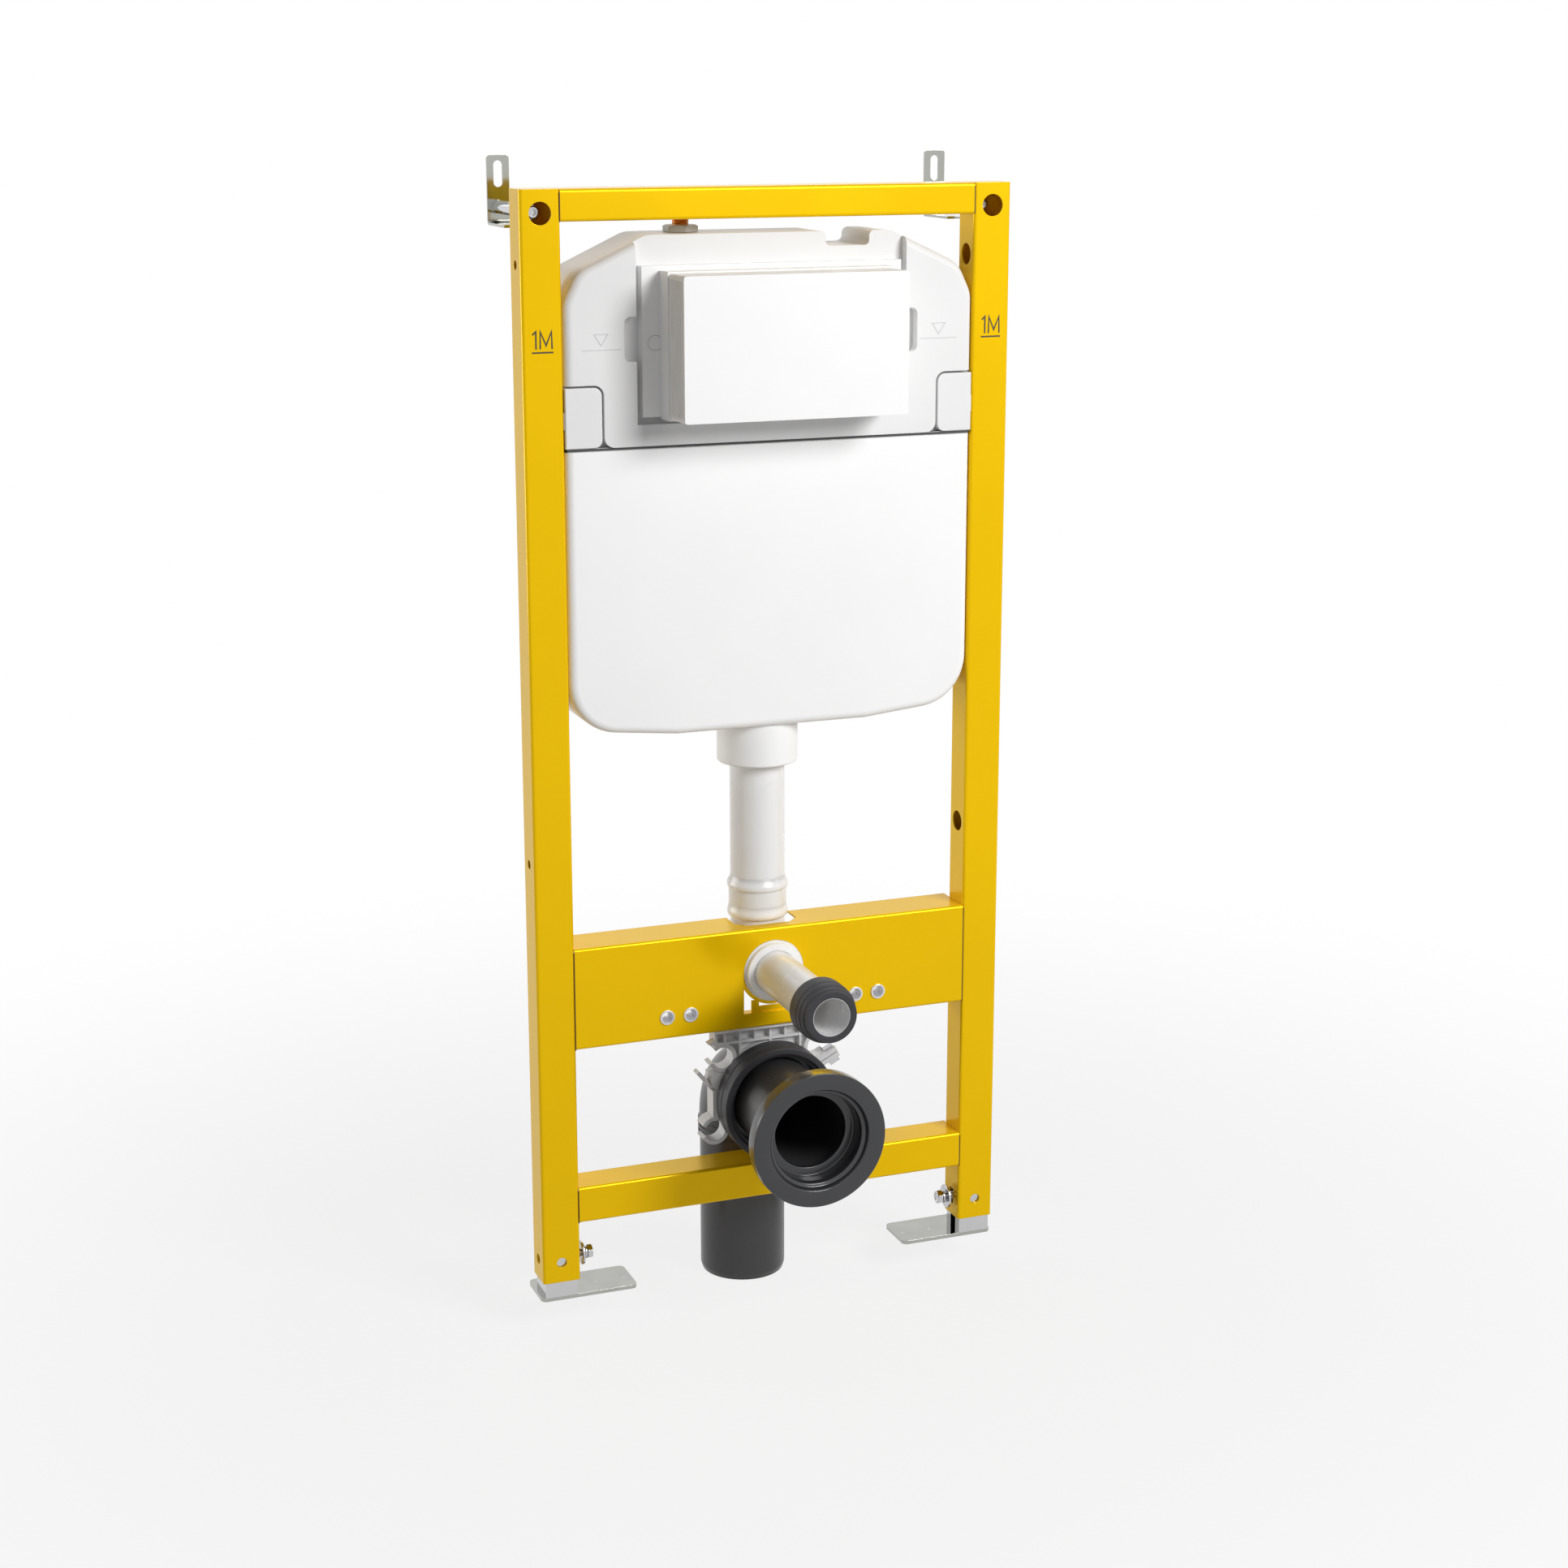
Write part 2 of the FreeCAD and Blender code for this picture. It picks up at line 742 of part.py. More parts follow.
# Wall brackets: slotted angles, held off the wall by spindles through the uprights
def wall_bracket(name, side):
    body = new_body(f"wall_bracket_{name}")
    place(body, x=side * upright_middle, y=d.wall_distance, z=spindle_height - d.bracket_drop)
    half = d.bracket_width / 2
    thick = d.bracket_thickness
    height = d.bracket_drop + d.bracket_rise

    def angle(sketch):
        polygon(sketch, [(0, 0), (0, height), (-thick, height), (-thick, thick),
                         (-d.bracket_arm, thick), (-d.bracket_arm, 0)])

    pad(body, "YZ", -half, half, angle)
    round_edges(body, 2 * thick, edge_at("x", y=0, z=0))
    round_edges(body, thick, edge_at("x", y=-thick, z=thick))
    round_edges(body, d.bracket_corner, edge_at("y", z=height))
    radius = d.bracket_slot_width / 2
    high = height - d.bracket_slot_margin - radius
    low = high - d.bracket_slot_length + 2 * radius
    for level in (high, low):
        cut(body, "XZ", -2 * thick, thick, lambda sketch: circle(sketch, 0, level, radius))
    cut(body, "XZ", -2 * thick, thick,
        lambda sketch: rectangle(sketch, -radius, low, radius, high))


def depth_spindle(name, side):
    """Threaded spindle with a thicker sleeve between the upright and the bracket's plate."""
    body = new_body(f"depth_spindle_{name}")
    place(body, x=side * upright_middle, z=spindle_height)
    back = d.upright_depth
    start = back - d.steel_wall - d.spindle_nut_height - d.spindle_stand
    plate = d.wall_distance - d.bracket_thickness
    tip = d.spindle_radius / 2
    taper = d.sleeve_radius - tip

    def profile(sketch):
        polygon(sketch, [(start, 0), (start, d.spindle_radius), (back, d.spindle_radius),
                         (back, d.sleeve_radius), (plate - taper, d.sleeve_radius),
                         (plate, tip), (plate, 0)])

    turn(body, "YZ", profile)


def spindle_nuts():
    """Hexagon nuts welded inside the uprights' back walls, one on each spindle."""
    body = new_body("spindle_nuts")
    place(body, z=spindle_height)
    end = d.upright_depth - d.steel_wall

    def nuts(sketch):
        for side in SIDES.values():
            hexagon(sketch, side * upright_middle, size(0), d.spindle_nut_flats)
            circle(sketch, side * upright_middle, 0, d.spindle_radius)

    pad(body, "XZ", end - d.spindle_nut_height, end, nuts)


# Cistern: two moulded shells with a groove between them
def tank_outline(sketch, inset, top):
    half = cistern_width / 2 - inset
    flat = d.tank_flat / 2
    low = tank_bottom + inset
    side_low = low + d.tank_side_rise
    polygon(sketch, [(-half, top), (-half, side_low), (-flat, low), (flat, low),
                     (half, side_low), (half, top)])


def cistern_tank():
    body = new_body("cistern_tank")
    place(body)
    front, back = d.cistern_front, d.cistern_back
    wall = d.cistern_wall
    half = cistern_width / 2
    pad(body, "XZ", front, back, lambda sketch: tank_outline(sketch, size(0), joint_height))
    inset = d.joint_depth
    pad(body, "XY", joint_height, hood_bottom,
        lambda sketch: rectangle(sketch, -half + inset, front + inset, half - inset,
                                 back - inset))
    cut(body, "XZ", front + wall, back - wall,
        lambda sketch: tank_outline(sketch, wall, hood_bottom + wall))
    low = tank_bottom + d.tank_side_rise
    round_edges(body, d.tank_corner - wall, edge_at("y", off_x=half - wall, z=low + wall))
    round_edges(body, d.tank_corner, edge_at("y", off_x=half, z=low))
    round_edges(body, d.cistern_rounding, face_edge(front, joint_height),
                face_edge(back, joint_height))
    cut(body, "XY", tank_bottom - wall, tank_bottom + 2 * wall,
        lambda sketch: circle(sketch, 0, d.flush_depth, d.flush_radius))


def cistern_hood():
    """Sloped shoulders, a channel with finger notches for the plate, and cut-outs for the clips."""
    body = new_body("cistern_hood")
    place(body)
    half = cistern_width / 2
    flat = d.hood_flat / 2
    shoulder = half - d.hood_shoulder_inset
    shoulder_height = hood_top - d.hood_shoulder_drop
    side_height = hood_top - d.hood_side_drop
    wall = d.cistern_wall
    front, back = d.cistern_front, d.cistern_back

    def outline(sketch):
        polygon(sketch, [(-half, hood_bottom), (half, hood_bottom), (half, side_height),
                         (shoulder, shoulder_height), (flat, hood_top), (-flat, hood_top),
                         (-shoulder, shoulder_height), (-half, side_height)])

    pad(body, "XZ", front, back, outline)
    corners = ((half, side_height), (shoulder, shoulder_height), (flat, hood_top))
    round_edges(body, d.hood_corner,
                *[edge_at("y", off_x=across, z=level) for across, level in corners])
    round_edges(body, d.cistern_rounding, face_edge(front, hood_bottom),
                face_edge(back, hood_bottom))

    floor = front + d.channel_depth
    channel_side = d.channel_width / 2
    cut(body, "XZ", front - wall, floor,
        lambda sketch: rectangle(sketch, -channel_side, plate_bottom - d.plate_foot_gap,
                                 channel_side, hood_top + wall))
    finger = channel_side + d.finger_reach
    finger_top = plate_top - d.finger_below_plate
    cut(body, "XZ", front - wall, floor,
        lambda sketch: rectangle(sketch, -finger, finger_top - d.finger_height, finger,
                                 finger_top))
    round_edges(body, d.finger_corner, edge_at("y", off_x=finger))

    notch_right = flat - d.notch_margin
    notch_left = notch_right - d.notch_width
    notch_floor = hood_top - d.notch_depth
    cut(body, "XZ", front - wall, back + wall,
        lambda sketch: rectangle(sketch, notch_left, notch_floor, notch_right, hood_top + wall))
    round_edges(body, d.notch_corner, *[edge_at("y", x=across, z=level)
                                        for across in (notch_left, notch_right)
                                        for level in (notch_floor, hood_top)])

    inner = half - wall
    inner_side = side_height - wall
    inner_shoulder = shoulder - wall
    shoulder_low = shoulder_height - wall
    inner_flat = flat - wall
    roof = hood_top - wall
    low_roof = notch_floor - wall

    def cavity(sketch):
        polygon(sketch, [(-inner, hood_bottom - wall), (inner, hood_bottom - wall),
                         (inner, inner_side), (inner_shoulder, shoulder_low),
                         (inner_flat, roof), (notch_right + wall, roof),
                         (notch_right + wall, low_roof), (notch_left - wall, low_roof),
                         (notch_left - wall, roof), (-inner_flat, roof),
                         (-inner_shoulder, shoulder_low), (-inner, inner_side)])

    cut(body, "XZ", floor + wall, back - wall, cavity)
    window = plate_width / 2 - d.window_side
    cut(body, "XZ", floor - wall, floor + 2 * wall,
        lambda sketch: rectangle(sketch, -window, plate_bottom + d.window_foot, window,
                                 plate_top - d.window_head))

    clip_inner = half - d.clip_width
    clip_top = hood_bottom + d.clip_height
    for side in SIDES.values():
        low, high = side_span(side, clip_inner, half + wall)
        cut(body, "XZ", front - wall, front + d.clip_depth,
            lambda sketch: rectangle(sketch, low, hood_bottom - wall, high, clip_top))
    round_edges(body, d.clip_corner, edge_at("y", off_x=clip_inner, z=hood_bottom),
                edge_at("y", off_x=clip_inner, z=clip_top))
    cut(body, "XY", low_roof, hood_top + wall,
        lambda sketch: circle(sketch, d.inlet_offset, inlet_depth, d.inlet_radius))


def cistern_clip(name, side):
    """Corner piece at the joint, with a tongue against the upright's inner wall."""
    body = new_body(f"cistern_clip_{name}")
    place(body)
    bottom = hood_bottom + d.seat_gap
    top = hood_bottom + d.clip_height - d.clip_gap
    front = d.cistern_front
    half = cistern_width / 2
    inner = half - d.clip_width + d.clip_gap
    low, high = side_span(side, inner, half)
    pad(body, "XZ", front, front + d.clip_depth,
        lambda sketch: rectangle(sketch, low, bottom, high, top))
    round_edges(body, d.clip_corner - d.clip_gap, edge_at("y", off_x=inner))
    round_edges(body, d.clip_edge, face_edge(front, front))
    tongue_front = front + d.clip_gap
    tongue_bottom = hood_bottom + d.tongue_rise
    low, high = side_span(side, half - d.clip_gap, upright_inner)
    pad(body, "XZ", tongue_front, tongue_front + d.tongue_depth,
        lambda sketch: rectangle(sketch, low, tongue_bottom, high,
                                 tongue_bottom + d.tongue_height))


# Access opening: a plate in the channel and a closed box that guards the opening
def access_plate():
    body = new_body("access_plate")
    place(body)
    half = plate_width / 2
    window = half - d.window_side

    def outline(sketch):
        rectangle(sketch, -half, plate_bottom, half, plate_top)
        rectangle(sketch, -window, plate_bottom + d.window_foot, window,
                  plate_top - d.window_head)

    pad(body, "XZ", d.plate_front, d.cistern_front + d.channel_depth, outline)


def access_box():
    """Closed front, a collar at the rear and fine ribs up both sides."""
    body = new_body("access_box")
    place(body)
    half = plate_width / 2 - d.box_side
    bottom = plate_bottom - d.box_foot
    top = plate_top - d.box_head
    front = d.plate_front - d.box_depth
    collar = d.plate_front - d.box_collar
    wall = d.box_wall

    def box(inset):
        return lambda sketch: rectangle(sketch, -half + inset, bottom + inset, half - inset,
                                        top - inset)

    pad(body, "XZ", front, d.plate_front, box(size(0)))
    round_edges(body, d.box_corner, edge_at("y"))
    pad(body, "XZ", collar, d.plate_front, box(-d.box_collar_proud))
    cut(body, "XZ", front + wall, d.plate_front + wall, box(wall))
    rib = d.box_rib
    pitch = d.box_rib_pitch
    ribs = 7

    def side_ribs(sketch):
        for side in SIDES.values():
            for count in range(ribs):
                start = front + pitch * (count + 1)
                low, high = side_span(side, half - rib, half + rib)
                rectangle(sketch, low, start, high, start + 2 * rib)

    pad(body, "XY", bottom + pitch, top - pitch, side_ribs)


# Water inlet: a threaded nipple through the hood, held by a plastic nut
def inlet_nipple():
    body = new_body("inlet_nipple")
    place(body, x=d.inlet_offset, y=inlet_depth)
    shoulder = hood_top + d.inlet_nut_height
    neck = d.inlet_radius - d.fit_clearance
    pad(body, "XY", hood_top - 2 * d.cistern_wall, shoulder,
        lambda sketch: ring(sketch, 0, 0, neck, d.inlet_bore))
    pad(body, "XY", shoulder, hood_top + d.inlet_length,
        lambda sketch: ring(sketch, 0, 0, d.inlet_radius, d.inlet_bore))


def inlet_nut():
    body = new_body("inlet_nut")
    place(body, x=d.inlet_offset, y=inlet_depth)

    def outline(sketch):
        hexagon(sketch, size(0), size(0), d.inlet_nut_flats)
        circle(sketch, 0, 0, d.inlet_radius)

    pad(body, "XY", hood_top, hood_top + d.inlet_nut_height, outline)


# Flush pipes: down from the tank, round an elbow and forward through the keyhole
def outlet_collar():
    body = new_body("outlet_collar")
    place(body, y=d.flush_depth)
    bottom = tank_bottom - d.collar_height
    radius = d.flush_radius + d.collar_wall
    pad(body, "XY", bottom, tank_bottom,
        lambda sketch: ring(sketch, 0, 0, radius, d.flush_radius))

    round_edges(body, d.flush_wall, rim_at(bottom, radius))


def flush_pipe():
    body = new_body("flush_pipe")
    place(body, y=d.flush_depth)
    inner = d.flush_radius - d.flush_wall
    low = flush_axis + d.flush_socket_low + d.flush_bead_height
    pad(body, "XY", low, tank_bottom + d.cistern_wall,
        lambda sketch: ring(sketch, 0, 0, d.flush_radius, inner))


def flush_elbow():
    """Drawn about the bend's centre of curvature, behind and above the mouth."""
    body = new_body("flush_elbow")
    bend = d.flush_bend
    place(body, y=d.flush_depth - bend, z=flush_axis + bend)
    outer = d.flush_radius
    inner = d.flush_radius - d.flush_wall
    turn(body, "XY", lambda sketch: ring(sketch, 0, bend, outer, inner), 90.0, back=True)
    socket_low = d.flush_socket_low - bend
    socket_high = d.flush_socket_high - bend
    socket = d.flush_radius + d.flush_socket_wall
    bead = socket + d.flush_bead
    tall = d.flush_bead_height
    pad(body, "XY", 0, socket_low + tall, lambda sketch: ring(sketch, 0, bend, outer, inner))
    pad(body, "XY", socket_low, socket_high,
        lambda sketch: ring(sketch, 0, bend, socket, outer))
    for low in (socket_low, socket_high - tall):
        pad(body, "XY", low, low + tall, lambda sketch: ring(sketch, 0, bend, bead, outer))
    web = bend - d.flush_depth
    seat = d.outlet_radius + d.seat_gap
    flange = keyhole_radius - d.seat_gap
    pad(body, "XZ", web + d.mouth_front, size(0),
        lambda sketch: ring(sketch, 0, -bend, mouth_radius, seat))
    pad(body, "XZ", web, web + d.steel_wall,
        lambda sketch: ring(sketch, 0, -bend, flange, seat))


def elbow_cradle():
    """Steel half ring on two legs behind the keyhole, under the elbow's mouth."""
    body = new_body("elbow_cradle")
    place(body)
    inner = mouth_radius + d.seat_gap
    outer = inner + d.cradle_width
    front = d.steel_wall
    back = 2 * d.steel_wall
    foot = middle_rail_bottom + d.steel_wall
    near = d.cradle_leg_inner
    far = near + d.cradle_leg_width
    bar = foot + 2 * d.cradle_bar_rise
    pad(body, "XZ", front, back, lambda sketch: ring(sketch, 0, flush_axis, outer, inner))
    cut(body, "XZ", 0, back + front,
        lambda sketch: rectangle(sketch, -2 * outer, flush_axis, 2 * outer,
                                 flush_axis + 2 * outer))
    for side in SIDES.values():
        low, high = side_span(side, near, far)
        pad(body, "XZ", front, back,
            lambda sketch: rectangle(sketch, low, foot, high, flush_axis - inner))
    pad(body, "XZ", front, back,
        lambda sketch: rectangle(sketch, -far, bar, far, bar + 2 * d.cradle_bar_rise))


def flush_outlet():
    body = new_body("flush_outlet")
    place(body, z=flush_axis)
    pad(body, "XZ", d.outlet_front, d.outlet_back,
        lambda sketch: ring(sketch, 0, 0, d.outlet_radius, d.outlet_radius - d.outlet_wall))


def flush_seal():
    """Stepped rubber seal on the pipe's end."""
    body = new_body("flush_seal")
    place(body, z=flush_axis)
    stop = d.outlet_front
    front = stop - d.seal_overhang
    back = stop + d.seal_grip
    step = d.seal_step
    nose = d.outlet_radius + d.seal_nose_wall
    shoulder = nose + d.seal_shoulder
    full = shoulder + d.seal_full

    def profile(sketch):
        polygon(sketch, [(front, d.seal_bore), (front, nose), (front + step, nose),
                         (front + step, shoulder), (front + 2 * step, shoulder),
                         (front + 2 * step, full), (back, full), (back, d.outlet_radius),
                         (stop, d.outlet_radius), (stop, d.seal_bore)])

    turn(body, "YZ", profile)


# Waste: rubber front flange, connector pipe, rubber ring, bend and pipe down
def waste_flange():
    body = new_body("waste_flange")
    place(body, z=waste_axis)
    front = d.flange_front
    back = front + d.flange_thickness
    rear = front + d.connector_setback
    pipe = d.waste_radius
    wall = d.waste_wall
    seat = pipe + d.flange_seat_play
    recess = seat + d.flange_recess
    rim = recess + d.flange_rim
    lip = pipe - d.flange_lip
    stop = rear - 2 * wall

    def profile(sketch):
        polygon(sketch, [(front, recess), (front, rim), (back, rim), (back + wall, rim - 3 * wall),
                         (rear - wall, pipe + 2 * wall), (rear + 2 * wall, pipe + wall),
                         (rear + 2 * wall, pipe), (rear, pipe), (rear, lip), (stop, lip),
                         (stop, seat), (front + 2 * wall, seat), (front + wall, recess)])

    turn(body, "YZ", profile)


def waste_connector():
    body = new_body("waste_connector")
    place(body, z=waste_axis)
    rear = d.waste_socket_length - d.waste_wall - d.connector_play
    pad(body, "XZ", d.flange_front + d.connector_setback, rear,
        lambda sketch: ring(sketch, 0, 0, d.waste_radius, d.waste_radius - d.waste_wall))


def waste_ring():
    """Rubber ring over the front of the bend's socket."""
    body = new_body("waste_ring")
    place(body, z=waste_axis)
    front = d.ring_front
    rim = socket_radius + d.ring_wall
    bore = socket_radius - d.ring_lip - d.seat_gap
    step = rim - d.ring_wall - d.fit_clearance
    seat = front + d.ring_step_depth

    def profile(sketch):
        polygon(sketch, [(seat, bore), (seat, step), (front, step), (front, rim),
                         (d.ring_lap, rim), (d.ring_lap, socket_radius), (0, socket_radius),
                         (0, bore)])

    turn(body, "YZ", profile)


def waste_bend():
    """Drawn about the bend's centre of curvature, in front of and below the corner."""
    body = new_body("waste_bend")
    bend = waste_bend_radius
    start = waste_depth - bend
    place(body, y=start, z=waste_axis - bend)
    wall = d.waste_wall
    outer = d.waste_radius + d.waste_bend_step
    bore = d.waste_radius + d.fit_clearance
    inner = d.waste_radius - wall
    turn(body, "XY", lambda sketch: ring(sketch, 0, bend, outer, inner), 90.0)
    low = bend - d.waste_joint_drop
    pad(body, "XY", low, size(0), lambda sketch: ring(sketch, 0, bend, outer, inner))
    ridge = d.waste_radius + d.ridge_height
    for count in range(3):
        base = low + d.ridge_pitch * (count + 0.5)
        pad(body, "XY", base, base + d.ridge_width,
            lambda sketch: ring(sketch, 0, bend, ridge, inner))
    back = d.waste_socket_length - start
    pad(body, "XZ", back - wall, size(0), lambda sketch: ring(sketch, 0, bend, outer, inner))
    pad(body, "XZ", back - wall, back,
        lambda sketch: ring(sketch, 0, bend, socket_radius, inner))
    pad(body, "XZ", -start, back - wall,
        lambda sketch: ring(sketch, 0, bend, socket_radius, bore))


def waste_pipe():
    body = new_body("waste_pipe")
    place(body, y=waste_depth)
    pad(body, "XY", d.waste_end, waste_joint,
        lambda sketch: ring(sketch, 0, 0, d.waste_radius, d.waste_radius - d.waste_wall))
    round_edges(body, d.spigot_rounding, rim_at(d.waste_end, d.waste_radius))


# Pipe hanger, strap, lever and screw: the moulded clamp under the middle rail
def turned_by(angle, along, across):
    """A point given along and across a ray from the pipe's axis at an angle in degrees."""
    cosine = math.cos(math.radians(angle))
    sine = math.sin(math.radians(angle))
    return along * cosine - across * sine, along * sine + across * cosine


def across_ray(sketch, start, end, low, high):
    """A rectangle along the ray on which hanger and strap part at the right."""
    angle = d.split_angle.value
    polygon(sketch, [turned_by(angle, start, low), turned_by(angle, end, low),
                     turned_by(angle, end, high), turned_by(angle, start, high)])


def split_line(sketch, gap, far):
    """Everything on one side of the line that parts the hanger from the strap."""
    left = d.left_split + gap
    polygon(sketch, [(-abs_of(far), left), (0, left), (0, gap),
                     turned_by(d.split_angle.value, abs_of(far), gap), (abs_of(far), far),
                     (-abs_of(far), far)])


def abs_of(amount):
    return amount if amount.value > 0 else -amount


def screw_slot(body, front, back, low, high):
    """An open slot in a lug that takes the strap's screw."""
    middle = (front + back) / 2
    half = d.screw_radius + d.fit_clearance
    cut(body, "XZ", middle - half, middle + half,
        lambda sketch: across_ray(sketch, d.screw_along - half, 2 * d.lug_reach, low, high))


def pipe_hanger():
    """Ribbed moulding under the middle rail that holds the upper half of the bend's socket."""
    body = new_body("pipe_hanger")
    place(body, z=waste_axis)
    front = d.band_front
    back = front + d.band_depth
    middle = (front + back) / 2
    rib = d.hanger_rib / 2
    top = middle_rail_bottom - waste_axis
    under = top - d.hanger_plate
    bar = top - d.hanger_bar_drop
    half = d.hanger_width / 2
    web = d.hanger_web_width / 2
    end = half - 2 * rib
    inside = band_inner / 2

    pad(body, "XY", under, top,
        lambda sketch: rectangle(sketch, -half, d.hanger_front, half,
                                 d.middle_rail_depth - d.steel_wall))
    pad(body, "XZ", middle - rib, middle + rib,
        lambda sketch: rectangle(sketch, -web, inside, web, bar))
    pad(body, "XZ", middle - rib, middle + rib,
        lambda sketch: rectangle(sketch, -end, bar - rib, end, under))
    pad(body, "XZ", front, back,
        lambda sketch: rectangle(sketch, -end, bar - 2 * rib, end, bar))

    def full_ribs(sketch):
        for count in (-2, 0, 2):
            across = count * d.hanger_rib_pitch
            rectangle(sketch, across - rib, inside, across + rib, under)

    def short_ribs(sketch):
        for count in (-3, -1, 1, 3):
            across = count * d.hanger_rib_pitch
            rectangle(sketch, across - rib, bar - rib, across + rib, under)
        for across in (-end, end - 2 * rib):
            rectangle(sketch, across, bar - rib, across + 2 * rib, under)

    pad(body, "XZ", front, back, full_ribs)
    pad(body, "XZ", front, back, short_ribs)
    pad(body, "XZ", front, back, lambda sketch: circle(sketch, 0, 0, band_radius))
    for side in SIDES.values():
        pad(body, "XZ", front, back,
            lambda sketch: circle(sketch, side * d.ear_across, d.ear_up,
                                  d.ear_bore + d.ear_wall))
    high = d.split_gap + d.lug_thickness
    pad(body, "XZ", front, back,
        lambda sketch: across_ray(sketch, band_inner, d.lug_reach, d.split_gap, high))
    block_top = d.left_split + d.block_height
    block_right = d.block_left - d.block_width
    reach = d.hook_reach

    def block(sketch):
        polygon(sketch, [(-block_right, block_top), (-d.block_left, block_top),
                         (-d.block_left, block_top - 2 * reach),
                         (-d.block_left + reach, d.left_split + rib),
                         (-block_right, d.left_split)])

    def hook(sketch):
        polygon(sketch, [(-end + reach / 2, bar + reach), (-half - reach, bar),
                         (-half - reach / 2, bar - rib), (-end + reach / 2, bar - rib)])

    pad(body, "XZ", front, back, block)

    def ear_mouths(sketch):
        for side in SIDES.values():
            x, z = side * d.ear_across, d.ear_up
            out = x + side * d.ear_mouth_reach
            polygon(sketch, [(x, z), (out, z + d.ear_mouth_rise), (out, z - d.ear_mouth_fall)])

    cut(body, "XZ", front - rib, back + rib,
        lambda sketch: [circle(sketch, side * d.ear_across, d.ear_up, d.ear_bore)
                        for side in SIDES.values()])
    cut(body, "XZ", front - rib, back + rib, ear_mouths)
    pad(body, "XZ", front, middle, hook)
    cut(body, "XZ", front - rib, back + rib,
        lambda sketch: split_line(sketch, d.split_gap, -2 * band_radius))
    cut(body, "XZ", front - rib, back + rib, lambda sketch: circle(sketch, 0, 0, band_inner))
    near = d.screw_along - d.screw_head / 2 - d.fit_clearance
    cut(body, "XZ", front - rib, back + rib,
        lambda sketch: across_ray(sketch, near, 2 * d.lug_reach, high,
                                  high + d.screw_head_height + rib))
    screw_slot(body, front, back, size(0), high + rib)


def pipe_strap():
    """Lower half of the clamp, with a spring hook at the left and a lug at the right."""
    body = new_body("pipe_strap")
    place(body, z=waste_axis)
    front = d.band_front
    back = front + d.band_depth
    rib = d.hanger_rib / 2
    radius = d.ear_bore + d.ear_wall
    x, z = -d.spring_across, -d.spring_down
    pad(body, "XZ", front, back, lambda sketch: circle(sketch, 0, 0, band_radius))
    pad(body, "XZ", front, back, lambda sketch: circle(sketch, x, z, radius))
    strip_right = -band_inner
    pad(body, "XZ", front, back,
        lambda sketch: rectangle(sketch, strip_right - d.band_wall - d.ear_wall, z, strip_right,
                                 d.left_split + rib))
    low = -d.split_gap - d.lug_thickness
    pad(body, "XZ", front, back,
        lambda sketch: across_ray(sketch, band_inner, d.lug_reach, low, -d.split_gap))
    bore = d.ear_bore
    cut(body, "XZ", front - rib, back + rib, lambda sketch: circle(sketch, x, z, bore))
    cut(body, "XZ", front - rib, back + rib,
        lambda sketch: polygon(sketch, [(x, z), (x - 2 * bore, z + bore),
                                        (x - 2 * bore, z - bore)]))
    cut(body, "XZ", front - rib, back + rib,
        lambda sketch: split_line(sketch, -d.split_gap, 2 * band_radius))
    cut(body, "XZ", front - rib, back + rib, lambda sketch: circle(sketch, 0, 0, band_inner))
    screw_slot(body, front, back, low - rib, size(0))


def strap_screw():
    """Square-headed screw and nut that draw the two lugs together."""
    body = new_body("strap_screw")
    place(body, y=d.band_front + d.band_depth / 2, z=waste_axis)
    lean(body, d.split_angle)
    half = d.screw_head / 2
    seat = d.split_gap + d.lug_thickness
    tall = d.screw_head_height
    x = d.screw_along
    pad(body, "XY", -seat - tall, seat + tall,
        lambda sketch: circle(sketch, x, 0, d.screw_radius))
    for low in (-seat - tall, seat):
        pad(body, "XY", low, low + tall,
            lambda sketch: rectangle(sketch, x - half, -half, x + half, half))


def strap_lever():
    body = new_body("strap_lever")
    middle = d.band_front + d.band_depth / 2
    place(body, x=-d.lever_across, y=middle, z=waste_axis + d.lever_up)
    lean(body, d.lever_angle)
    half = d.lever_thickness / 2
    deep = d.lever_depth / 2
    pad(body, "XZ", -deep, deep,
        lambda sketch: rectangle(sketch, 0, -half, d.lever_length, half))
    round_edges(body, half / 2, edge_at("y"))


for name, side in SIDES.items():
    upright(name, side)
upright_caps()
top_rail()
middle_rail()
bottom_rail()
for name, side in SIDES.items():
    stud_bushes(name, side)
    leg(name, side)
    foot_plate(name, side)
    clamp_bolt(name, side)
    clamp_washer(name, side)
    clamp_nut(name, side)
    wall_bracket(name, side)
    depth_spindle(name, side)
spindle_nuts()
cistern_tank()
cistern_hood()
for name, side in SIDES.items():
    cistern_clip(name, side)
access_plate()
access_box()
inlet_nipple()
inlet_nut()
outlet_collar()
flush_pipe()
flush_elbow()
elbow_cradle()
flush_outlet()
flush_seal()
waste_flange()
waste_connector()
waste_ring()
waste_bend()
waste_pipe()
pipe_hanger()
pipe_strap()
strap_screw()
strap_lever()

doc.recompute()
for item in doc.Objects:
    if "Invalid" in item.State or "Error" in item.State:
        raise ValueError(f"{item.Label} did not build: {item.State}")

os.makedirs("parts", exist_ok=True)
for node in nodes:
    shape = node.Shape
    if shape.isNull() or not shape.isValid() or not shape.Solids:
        raise ValueError(f"{node.Label} has no valid shape")
    shape.exportStep(f"parts/{node.Label}.step")
    box = shape.BoundBox
    print(f"{node.Label}: {len(shape.Solids)} solid(s), {shape.Volume / 1000:.1f} cm3, "
          f"x {box.XMin:.1f} {box.XMax:.1f}, y {box.YMin:.1f} {box.YMax:.1f}, "
          f"z {box.ZMin:.1f} {box.ZMax:.1f}")
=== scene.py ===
import math

import bmesh
import bpy
from mathutils import Matrix, Vector


